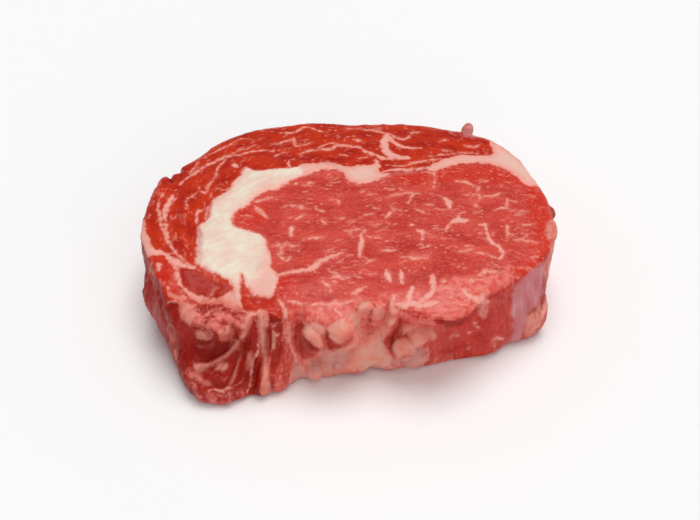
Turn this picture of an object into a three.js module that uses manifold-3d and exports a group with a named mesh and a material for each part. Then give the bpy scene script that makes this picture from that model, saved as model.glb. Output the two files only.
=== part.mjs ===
// A raw boneless ribeye steak: one thick slab of meat, lying on one of its two cut faces.
// Millimetres, +Z up. The origin is at the middle of the underside. The eye muscle is towards +X, the cap
// muscle runs round the back (+Y) and the left (-X), and the side that the rib bones were cut from faces -Y.

import * as THREE from "three";
import Module from "manifold-3d";
import { mergeVertices } from "three/addons/utils/BufferGeometryUtils.js";

// Driving dimensions of the slab, in millimetres.
const THICKNESS = 39; // between the two cut faces
const HALF_LENGTH = 81;
const HALF_WIDTH = 57.4;
const SQUARENESS = 2.3; // exponent of the outline: 2 is an ellipse, more is boxier
const AXIS_Y = 6; // the outline's own centre, which the tail puts behind the middle of the box
const BARREL = 1.2; // how far the wall bellies out half way up
const CROWN = 1.1; // how far the cut face falls away towards its rim
const CROWN_POWER = 5;

// Rounding where a cut face meets the wall: crisp in most places, and soft where the meat rolls over.
const EDGE_RADIUS = 2.4;
const SOFT_EDGES = [
  { name: "tail", at: 226, span: 9, more: 5.5 },
  { name: "rib side", at: 268, span: 13, more: 2.2 },
];

// Directions in which the mesh is built, in degrees round the outline from +X. They are closer together
// where the wall is folded.
const SECTORS = [
  { from: 0, to: 156, step: 4 },
  { from: 156, to: 168, step: 1.5 },
  { from: 168, to: 216, step: 3 },
  { from: 216, to: 256, step: 1.1 },
  { from: 256, to: 300, step: 1.6 },
  { from: 300, to: 344, step: 2.2 },
  { from: 344, to: 360, step: 4 },
];
// Rings of the mesh: shares of the wall's height, and shares of the radius on the two cut faces.
const WALL_RINGS = [1, 0.97, 0.92, 0.86, 0.79, 0.71, 0.62, 0.52, 0.42, 0.32, 0.22, 0.12, 0.04, 0];
const TOP_RINGS = [0.97, 0.91, 0.82, 0.7, 0.54, 0.36, 0.18];
const FOOT_RINGS = [0.96, 0.55];

// What the wall does besides following the outline. Each form pushes it out, or in where out is negative,
// around one direction (at, span: degrees) and between two heights (low, high, and blur where it fades: mm).
// lean turns the form by that many degrees for each mm of height above the middle.
const WALL_FORMS = [
  // the outline as a whole
  { name: "shoulder flat", at: 14, span: 6, out: -2.4 },
  { name: "back corner", at: 40, span: 7, out: 2 },
  { name: "cap flank", at: 151.5, span: 9, out: -4.6 },
  { name: "left swell", at: 196, span: 12, out: 1.1 },
  { name: "tail", at: 222, span: 12, out: 11 },
  { name: "behind the strips", at: 250, span: 5, out: -2 },
  { name: "rib side", at: 280, span: 8.5, out: -6 },
  { name: "right flank", at: 329, span: 5.5, out: -2.6 },
  { name: "right end", at: 353, span: 6, out: -0.8 },
  // the tail: a lobe that spreads at its foot, under a deep fold
  { name: "tail lobe", at: 230, span: 8, low: -9, high: 9, blur: 13, out: 10.5 },
  { name: "tail toe", at: 233.6, span: 4.5, low: -6, high: 6, blur: 8, out: 4.6 },
  { name: "tail fold", at: 229.5, span: 4.2, low: 19, high: 25, blur: 4.5, out: -5.6 },
  { name: "left undercut", at: 188, span: 11, low: -6, high: 4, blur: 16, out: -6 },
  { name: "left belly", at: 204, span: 6, low: 14, high: 24, blur: 9, out: 4.4 },
  { name: "left fold", at: 206, span: 2.6, low: 6, high: 27, blur: 7, out: -2 },
  { name: "left seam", at: 195.5, span: 2, low: 3, high: 33, blur: 6, out: -1.3 },
  // the muscle strips beside the tail, side by side from rim to foot
  { name: "tail edge", at: 238.3, span: 1.7, low: -6, high: 24, blur: 7, lean: 0.09, out: 2.4 },
  { name: "cleft", at: 240.6, span: 1.2, low: 8, high: 25, blur: 8, lean: 0.06, out: -4 },
  { name: "strip foot", at: 245, span: 6, low: -6, high: 6, blur: 15, out: 8.8 },
  { name: "fat strip", at: 243, span: 1.2, low: -6, high: 34, blur: 4, out: 1.5 },
  { name: "strip groove", at: 245.1, span: 0.9, out: -1 },
  { name: "meat strip", at: 247.6, span: 1.6, out: 1.4 },
  { name: "strip end", at: 250.9, span: 1.4, low: -6, high: 33, blur: 4, out: -2.1 },
  // the rib side: torn fat over shallow hollows, then a flap of the cut face over a smooth hollow
  { name: "rib hollow", at: 262, span: 3, low: 11, high: 20, blur: 5, out: -3.6 },
  { name: "rib side foot", at: 270, span: 9, low: -6, high: 9, blur: 9, out: -1.4 },
  { name: "deep hollow", at: 289.6, span: 3, low: 19, high: 29, blur: 4, out: -4.4 },
  { name: "flap", at: 301.5, span: 9, power: 3, low: 34, high: 60, blur: 4.5, out: 6.2 },
  { name: "under the flap", at: 304, span: 13, power: 4, low: -9, high: 30, blur: 5, out: -4.6 },
  { name: "right belly", at: 334, span: 6, low: 4, high: 20, blur: 9, out: 2.6 },
  { name: "silver skin edge", at: 327.5, span: 1.8, low: 2, high: 30, blur: 6, out: -1.1 },
  { name: "right end seam", at: 343, span: 2.4, low: -6, high: 33, blur: 5, out: -1.3 },
  { name: "right toe", at: 337, span: 7, low: -6, high: 9, blur: 11, out: 4 },
  { name: "right undercut", at: 0, span: 11, low: -9, high: 3, blur: 14, out: -3 },
  // the far side: a nick in the rim, and the soft hollows of the trimmed cap
  { name: "nick", at: 161.6, span: 1.4, low: 30, high: 60, blur: 6, out: -3.2 },
  { name: "nick lip", at: 165, span: 2.2, low: 25, high: 60, blur: 6, out: 1.6 },
  { name: "cap groove", at: 118, span: 6, low: 10, high: 24, blur: 9, out: -1.9 },
  { name: "cap belly", at: 92, span: 12, low: 8, high: 26, blur: 9, out: 1.6 },
  { name: "fat cover", at: 48, span: 11, low: 4, high: 30, blur: 8, out: 1.8 },
  { name: "cover edge", at: 66, span: 4, low: 6, high: 32, blur: 6, out: -1.5 },
];

// Low relief of the upper cut face: an oval at x, y with half-sizes rx, ry, turned by turn degrees and
// lifted by up mm.
const TOP_FORMS = [
  { name: "eye muscle", x: 26, y: 4, rx: 52, ry: 34, turn: -4, up: 1.1 },
  { name: "fat kernel", x: -42, y: 6, rx: 13, ry: 27, turn: -24, up: 0.9 },
  { name: "cap seam", x: -52, y: 18, rx: 5, ry: 26, turn: -22, up: -0.7 },
  { name: "tail slope", x: -57, y: -51, rx: 22, ry: 15, turn: 20, up: -5.4 },
  { name: "rib slope", x: -4, y: -49, rx: 22, ry: 8, turn: 0, up: -3.2 },
  { name: "right slope", x: 66, y: -34, rx: 16, ry: 9, turn: 35, up: -1.8 },
  { name: "flap droop", x: 36, y: -52, rx: 13, ry: 8, turn: 0, up: -1.5 },
];

// Lumps of fat, and two tags of skin, that stand out of the wall in one direction (at: degrees) and at
// height z: the centre's distance out from the wall, then half-sizes along the wall, outwards and up, turned
// in the wall's plane.
const LUMPS = [
  { name: "rib fat 1", at: 256.3, z: 23.8, out: 0.4, along: 4.4, outwards: 3.6, up: 6.4, turn: 18 },
  { name: "rib fat 2", at: 266.8, z: 27.6, out: 0.2, along: 6.4, outwards: 4.2, up: 4.8, turn: -28 },
  { name: "rim fat 1", at: 277, z: 34.2, out: -1.6, along: 5.2, outwards: 4.4, up: 3, turn: 8 },
  { name: "rim fat 2", at: 286.2, z: 32.5, out: -0.6, along: 2.4, outwards: 3.2, up: 6.4, turn: -30 },
  { name: "rim fat 3", at: 281, z: 29.4, out: -1, along: 4.4, outwards: 3.2, up: 3.4, turn: -20 },
  { name: "wall fat 1", at: 266, z: 9.6, out: 0.2, along: 9, outwards: 3.2, up: 7.4, turn: 0 },
  { name: "wall fat 2", at: 278.5, z: 14, out: 0.2, along: 6.4, outwards: 3.8, up: 10.5, turn: -30 },
  { name: "wall fat 3", at: 272.5, z: 6.6, out: 0.4, along: 7, outwards: 3.4, up: 5.6, turn: 0 },
  { name: "rib fat 3", at: 291.3, z: 15.8, out: 0.8, along: 4.7, outwards: 4, up: 4.9, turn: 10 },
  { name: "rib fat 4", at: 297, z: 21, out: -0.2, along: 4.6, outwards: 3.4, up: 4.8, turn: 35 },
  { name: "membrane 1", at: 296.4, z: 7.4, out: -0.6, along: 6, outwards: 3, up: 5.4, turn: 0 },
  { name: "membrane 2", at: 286, z: 6, out: -1.2, along: 5.4, outwards: 3, up: 4.6, turn: 0 },
  { name: "foot fat", at: 256.8, z: 7, out: 0.6, along: 3.2, outwards: 2.8, up: 4.2, turn: 10 },
  { name: "tail fat 1", at: 228.6, z: 31, out: -0.8, along: 4, outwards: 2.8, up: 2.4, turn: -10 },
  { name: "tail fat 2", at: 234.4, z: 29.8, out: -0.4, along: 2.8, outwards: 3, up: 3.6, turn: 10 },
  { name: "right fat", at: 351, z: 30, out: -2.6, along: 4.6, outwards: 2.8, up: 5, turn: 0 },
  { name: "right tag", at: 2.4, z: 32.5, out: 0.2, along: 3, outwards: 2.2, up: 3.6, turn: 0 },
  { name: "back tag", at: 45.2, z: 37.4, out: 1.4, along: 2.2, outwards: 3, up: 3.2, turn: 12 },
];
const SAME_POINT = 1e-4; // points nearer than this are one, in mm
const LUMP_DETAIL = 2;
const LUMP_UNEVENNESS = 0.16; // share of a lump's radius

// The unevenness of cut meat, as a few waves round the wall: waves round the steak, waves up the wall, mm.
const RIPPLES = [
  { around: 5, up: 0.5, depth: 0.4, phase: 0.4 },
  { around: 9, up: -0.8, depth: 0.35, phase: 2.1 },
  { around: 16, up: 1.1, depth: 0.22, phase: 4.4 },
  { around: 29, up: -0.7, depth: 0.13, phase: 1.2 },
];

const radians = THREE.MathUtils.degToRad;

// 1 at the middle of a form, a half at its span, and 0 well outside it. A higher power makes a flatter top.
function bell(distance, span, power = 2) {
  return Math.exp(-(Math.abs(distance / span) ** power) * Math.LN2);
}

// The shorter way round from one direction to another, in degrees.
function turnBetween(a, b) {
  return THREE.MathUtils.euclideanModulo(a - b + 180, 360) - 180;
}

// How much of a form is felt at height z.
function heightShare({ low = -1000, high = 1000, blur = 1 }, z) {
  const { smoothstep } = THREE.MathUtils;
  return smoothstep(z, low - blur, low) * (1 - smoothstep(z, high, high + blur));
}

// Distance of the plain outline from its centre, in one direction.
function outlineRadius(direction) {
  const x = Math.abs(Math.cos(radians(direction)) / HALF_LENGTH) ** SQUARENESS;
  const y = Math.abs(Math.sin(radians(direction)) / HALF_WIDTH) ** SQUARENESS;
  return (x + y) ** (-1 / SQUARENESS);
}

// Distance of the wall from the axis at height z, before its edges are rounded.
function wallRadius(direction, z) {
  const height = z / THICKNESS;
  let radius = outlineRadius(direction) + BARREL * 4 * height * (1 - height);
  for (const form of WALL_FORMS) {
    const centre = form.at + (form.lean ?? 0) * (z - THICKNESS / 2);
    radius += form.out * bell(turnBetween(direction, centre), form.span, form.power) * heightShare(form, z);
  }
  for (const wave of RIPPLES) {
    const turn = wave.around * radians(direction) + 2 * Math.PI * wave.up * height;
    radius += wave.depth * Math.sin(turn + wave.phase);
  }
  return radius;
}

// Height of the upper cut face at x, y, at that share of the way out to its rim.
function topHeight(x, y, share) {
  let z = THICKNESS - CROWN * share ** CROWN_POWER;
  for (const form of TOP_FORMS) {
    const turn = radians(form.turn);
    const along = (x - form.x) * Math.cos(turn) + (y - form.y) * Math.sin(turn);
    const across = (y - form.y) * Math.cos(turn) - (x - form.x) * Math.sin(turn);
    z += form.up * bell(Math.hypot(along / form.rx, across / form.ry), 1);
  }
  return z;
}

function placeAt(direction, radius, z) {
  return [radius * Math.cos(radians(direction)), AXIS_Y + radius * Math.sin(radians(direction)), z];
}

function edgeRadius(direction) {
  let radius = EDGE_RADIUS;
  for (const edge of SOFT_EDGES) radius += edge.more * bell(turnBetween(direction, edge.at), edge.span);
  return radius;
}

// How far an edge rounded to that radius steps back, at a distance from the face that it meets.
function edgeInset(distance, radius) {
  if (distance >= radius) return 0;
  return radius - Math.sqrt(radius ** 2 - (radius - distance) ** 2);
}

function meshDirections() {
  const directions = [];
  for (const { from, to, step } of SECTORS) {
    const count = Math.round((to - from) / step);
    for (let i = 0; i < count; i += 1) directions.push(from + ((to - from) * i) / count);
  }
  return directions;
}

// A cut face's ring at that share of the way out: it takes up the folds of its rim only as it nears it.
function faceRadius(direction, rim, share) {
  const plain = outlineRadius(direction) - EDGE_RADIUS;
  return share * (plain + (rim - plain) * share ** 3);
}

// One rib of the slab's mesh: from the middle of the upper face out to the rim, down the wall and in
// underneath.
function sectionPoints(direction) {
  const rimRadius = wallRadius(direction, THICKNESS);
  const rimTop = topHeight(...placeAt(direction, rimRadius, 0).slice(0, 2), 1);
  const rounding = edgeRadius(direction);
  const insetRim = rimRadius - rounding;
  const top = TOP_RINGS.map((share) => {
    const [x, y] = placeAt(direction, faceRadius(direction, insetRim, share), 0);
    return [x, y, topHeight(x, y, share)];
  }).reverse();
  const wall = WALL_RINGS.map((share) => {
    const z = rimTop * share;
    const inset = edgeInset(rimTop - z, rounding) + edgeInset(z, EDGE_RADIUS);
    return placeAt(direction, wallRadius(direction, z) - inset, z);
  });
  const footRadius = wallRadius(direction, 0) - EDGE_RADIUS;
  const foot = FOOT_RINGS.map((share) => placeAt(direction, faceRadius(direction, footRadius, share), 0));
  return [...top, ...wall, ...foot];
}

function distanceBetween([x1, y1, z1], [x2, y2, z2]) {
  return Math.hypot(x1 - x2, y1 - y2, z1 - z2);
}

// The slab as one closed surface: rings of points joined by pairs of triangles, cut along the shorter
// diagonal, with a fan at each end.
function slabGeometry() {
  const sections = meshDirections().map(sectionPoints);
  const ribs = sections.length;
  const rings = sections[0].length;
  const points = sections.flat();
  const positions = points.flat();
  const topCentre = ribs * rings;
  const footCentre = topCentre + 1;
  positions.push(0, AXIS_Y, topHeight(0, AXIS_Y, 0), 0, AXIS_Y, 0);
  const faces = [];
  for (let i = 0; i < ribs; i += 1) {
    const here = i * rings;
    const next = ((i + 1) % ribs) * rings;
    faces.push(topCentre, here, next);
    for (let j = 0; j < rings - 1; j += 1) {
      const [a, b, c, d] = [here + j, here + j + 1, next + j + 1, next + j];
      if (distanceBetween(points[b], points[d]) < distanceBetween(points[a], points[c])) {
        faces.push(a, b, d, d, b, c);
      } else {
        faces.push(a, b, c, a, c, d);
      }
    }
    faces.push(here + rings - 1, footCentre, next + rings - 1);
  }
  const geometry = new THREE.BufferGeometry();
  geometry.setAttribute("position", new THREE.Float32BufferAttribute(positions, 3));
  geometry.setIndex(faces);
  return geometry;
}

// An uneven egg of fat on the wall. Its waves follow from its own place, so that no two are alike.
function lumpGeometry({ at, z, out, along, outwards, up, turn }) {
  const geometry = new THREE.IcosahedronGeometry(1, LUMP_DETAIL);
  const place = geometry.getAttribute("position");
  const point = new THREE.Vector3();
  for (let i = 0; i < place.count; i += 1) {
    point.fromBufferAttribute(place, i);
    const { x, y, z: height } = point;
    const wave = Math.sin(3.1 * x + at) + Math.sin(3.7 * height + z) + Math.sin(2.6 * y + at * z);
    point.multiplyScalar(1 + (LUMP_UNEVENNESS / 2) * wave);
    place.setXYZ(i, point.x, point.y, point.z);
  }
  geometry.scale(outwards, along, up);
  geometry.rotateX(radians(turn));
  geometry.rotateZ(radians(at));
  geometry.translate(...placeAt(at, wallRadius(at, z) + out, z));
  return geometry;
}

// A closed geometry as a solid that can be joined to others.
function solidOf(wasm, geometry) {
  const bare = geometry.clone();
  bare.deleteAttribute("normal");
  bare.deleteAttribute("uv");
  const merged = mergeVertices(bare, SAME_POINT);
  return new wasm.Manifold(
    new wasm.Mesh({
      numProp: 3,
      vertProperties: merged.getAttribute("position").array,
      triVerts: new Uint32Array(merged.index.array),
    }),
  );
}

function geometryOf(solid) {
  const mesh = solid.getMesh();
  const geometry = new THREE.BufferGeometry();
  geometry.setAttribute("position", new THREE.BufferAttribute(mesh.vertProperties, 3));
  geometry.setIndex(new THREE.BufferAttribute(mesh.triVerts, 1));
  geometry.computeVertexNormals();
  return geometry;
}

// The whole steak is one solid: the slab with its lumps fused on.
function steakGeometry(wasm) {
  let solid = solidOf(wasm, slabGeometry());
  for (const lump of LUMPS) solid = solid.add(solidOf(wasm, lumpGeometry(lump)));
  const geometry = geometryOf(solid);
  geometry.computeBoundingBox();
  const { min, max } = geometry.boundingBox;
  geometry.translate(-(min.x + max.x) / 2, -(min.y + max.y) / 2, -min.z);
  return geometry;
}

const wasm = await Module();
wasm.setup();

const steak = new THREE.Mesh(
  steakGeometry(wasm),
  new THREE.MeshStandardMaterial({ color: 0xbe4a3e, roughness: 0.42, metalness: 0 }),
);
steak.name = "steak";

const group = new THREE.Group();
group.add(steak);

export default group;
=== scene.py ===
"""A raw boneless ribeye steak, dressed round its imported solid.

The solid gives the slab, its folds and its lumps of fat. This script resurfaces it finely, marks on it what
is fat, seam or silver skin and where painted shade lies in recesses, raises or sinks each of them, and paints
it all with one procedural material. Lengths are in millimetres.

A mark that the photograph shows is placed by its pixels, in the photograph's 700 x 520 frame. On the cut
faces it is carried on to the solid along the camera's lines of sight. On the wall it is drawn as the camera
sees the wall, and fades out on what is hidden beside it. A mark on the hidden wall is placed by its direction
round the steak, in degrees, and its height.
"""

import math

import bpy
import numpy as np
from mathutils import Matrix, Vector
from mathutils.bvhtree import BVHTree


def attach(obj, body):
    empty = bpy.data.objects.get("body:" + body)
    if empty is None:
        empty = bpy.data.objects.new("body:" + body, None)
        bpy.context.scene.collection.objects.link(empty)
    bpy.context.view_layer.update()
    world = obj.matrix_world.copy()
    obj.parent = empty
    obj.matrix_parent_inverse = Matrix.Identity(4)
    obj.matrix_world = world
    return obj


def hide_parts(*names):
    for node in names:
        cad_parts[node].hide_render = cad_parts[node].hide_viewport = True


METRE = 1000.0  # in millimetres

# The camera, as the photograph shows the steak.
PHOTO_WIDTH, PHOTO_HEIGHT = 700, 520
LENS, SENSOR = 60.0, 36.0
CAMERA_ELEVATION = 44.0  # degrees above level
CAMERA_DISTANCE = 470.0
LOOK_AT = Vector((0.0, -5.0, 19.0))
PIXEL = CAMERA_DISTANCE * SENSOR / LENS / PHOTO_WIDTH  # a pixel's width at LOOK_AT

# The slab that the solid is built from.
THICKNESS = 39.0
HALF_LENGTH, HALF_WIDTH, SQUARENESS = 81.0, 57.4, 2.3
CENTRE_X, CENTRE_Y = -0.15, 4.7
SEAM_TURN = 71  # the direction in which the wall's map starts and ends, in degrees
RIB_SIDE = (246, 307)  # directions between which the wall carries torn fat
EYE_WALL = 180  # how far round from there the wall is eye muscle, in degrees
STRANDS = (204, 247)  # directions between which the meat hangs in strands

# The fine mesh and the fields on it. A field holds how deep inside a kind of mark each point lies.
VOXEL = 0.5
DEPTH = 4.0  # fields are clipped this far inside and outside their marks
FACE_DEPTH = 10.0  # the upper cut face lies within this far of the slab's thickness
FOOT = 4.0  # below this height, what looks down is the underside
CARRIED = 30  # mesh steps for which marks that the camera sees are carried on past what it sees
CARRY_LOSS, CARRY_LIFT = 0.13, 0.9  # a field's loss at each of those steps, and the share of lift kept
SOFT = 0.4  # how sharp the edges of thin smears on the hidden wall are
EDGE_WAVES = ((3.2, 0.55), (1.3, 0.35))  # how wide the waves of a mark's edge are, and how far they reach
DRIFT = 6.0  # how far the underside's marks stray
KNIFE_SLANT = 33  # the way in which the knife left its ridges on the soft fat, in degrees
EVENED = 12  # rounds of evening out that take the steps off the fine mesh
MELTED = 90  # the same for what is marked to melt
NEARBY = 160  # the same for what counts as round a point
SEED = 7

# Random flecks of fat: how many are tried, their shortest and longest, their thinnest and thickest.
EYE_FLECKS = (4000, (0.6, 4.5), (0.2, 0.75))
TINY_FLECKS = (2200, (0.2, 1.4), (0.4, 1.0))
CAP_FLECKS = (4200, (0.5, 4), (0.15, 0.45))
WALL_FLECKS = (900, (0.6, 2.5), (0.15, 0.5))
EYE_SLANT, TINY_SLANT, WALL_SLANT = 0.06, 0.3, 1.45  # the way in which they lie on their maps, in radians

# Relief: how wide its bumps are, in one number or in three for the grain's axes, and how high.
SWELLS = ((14, 0.35), (5, 0.16))
FIBRES = (((3.6, 1.3, 3), 0.1),)
FINE_FIBRES = (((1.8, 0.9, 3), 0.05),)
KNIFE_RIDGES = (((13, 2.1, 1), 0.17), ((7, 1.2, 1), 0.085))  # on the cut fat
FAT_LOBES = ((6, 0.5), (2.6, 0.12))  # on the wall
WALL_STRANDS = (((9, 2.2, 3), 0.35),)
WALL_LUMPS = ((3.3, 0.15),)
TORN_LUMPS = ((3.4, 0.4), (1.7, 0.2))
RIM_LUMPS = ((4, 0.28), (1.8, 0.14))
SEAM_DIP = 0.14  # how far meat sinks beside a seam
CREASE_DIP = 0.25  # how far the creases between the lobes of fat go in

# Where each part lies on the flat map: its scale, and the place of its corner.
FACE_ISLAND = (0.0041, (0.005, 0.005))
UNDERSIDE_ISLAND = (0.0021, (0.71, 0.005))
OVERHANG_ISLAND = (0.0012, (0.71, 0.385))
WALL_ISLAND = ((0.00425, 0.0049), (0.01, 0.57))
WALL_STRIPS = 0.215  # from the wall's first strip to its second


# ---------------------------------------------------------------- marks

# The outlines of the pale fat between the muscles, and of the eye muscle.
KERNEL = [
    (300, 167), (283, 168.5), (260, 170.5), (245, 167), (242, 170.5), (239, 176.5), (233, 182),
    (228, 190.5), (217.5, 196.5), (211.5, 202.5), (209.5, 215.5), (206, 219), (199.5, 225), (197.5, 228.5),
    (196.5, 240), (196.5, 254), (197, 264), (210.5, 272), (222.5, 278), (231, 284.5), (234, 291),
    (233, 299), (236, 307), (241, 309), (241, 300), (240.5, 289), (242, 275), (245, 286), (250, 291),
    (254, 297.5), (266, 297), (273, 295), (277, 284), (278, 275), (272, 268), (271, 259), (268, 249),
    (265, 237), (253, 232), (238, 227), (233, 223.5), (234, 216.5), (239, 210.5), (248.5, 206), (253, 200),
    (266, 191.5), (274.5, 190.5), (286, 184.5), (300, 176.5),
]
EYE = [
    (233, 223), (240, 210), (254, 199), (267, 191), (287, 184), (305, 175), (333, 170), (343, 173.5),
    (350, 181), (360, 184.5), (376, 180.5), (391, 175), (410, 172.5), (433, 171.5), (447, 167.5),
    (459, 164.5), (478, 163), (493, 165), (505, 170.5), (520, 180.5), (529, 186), (540, 187), (549, 203),
    (553, 220), (548, 238), (549, 262), (520, 284), (500, 296), (472, 314), (452, 321), (434, 316),
    (396, 304), (364, 305), (326, 317), (293, 318), (286, 306), (277, 296), (278, 275), (272, 268),
    (268, 249), (253, 232), (238, 227),
]
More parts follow.
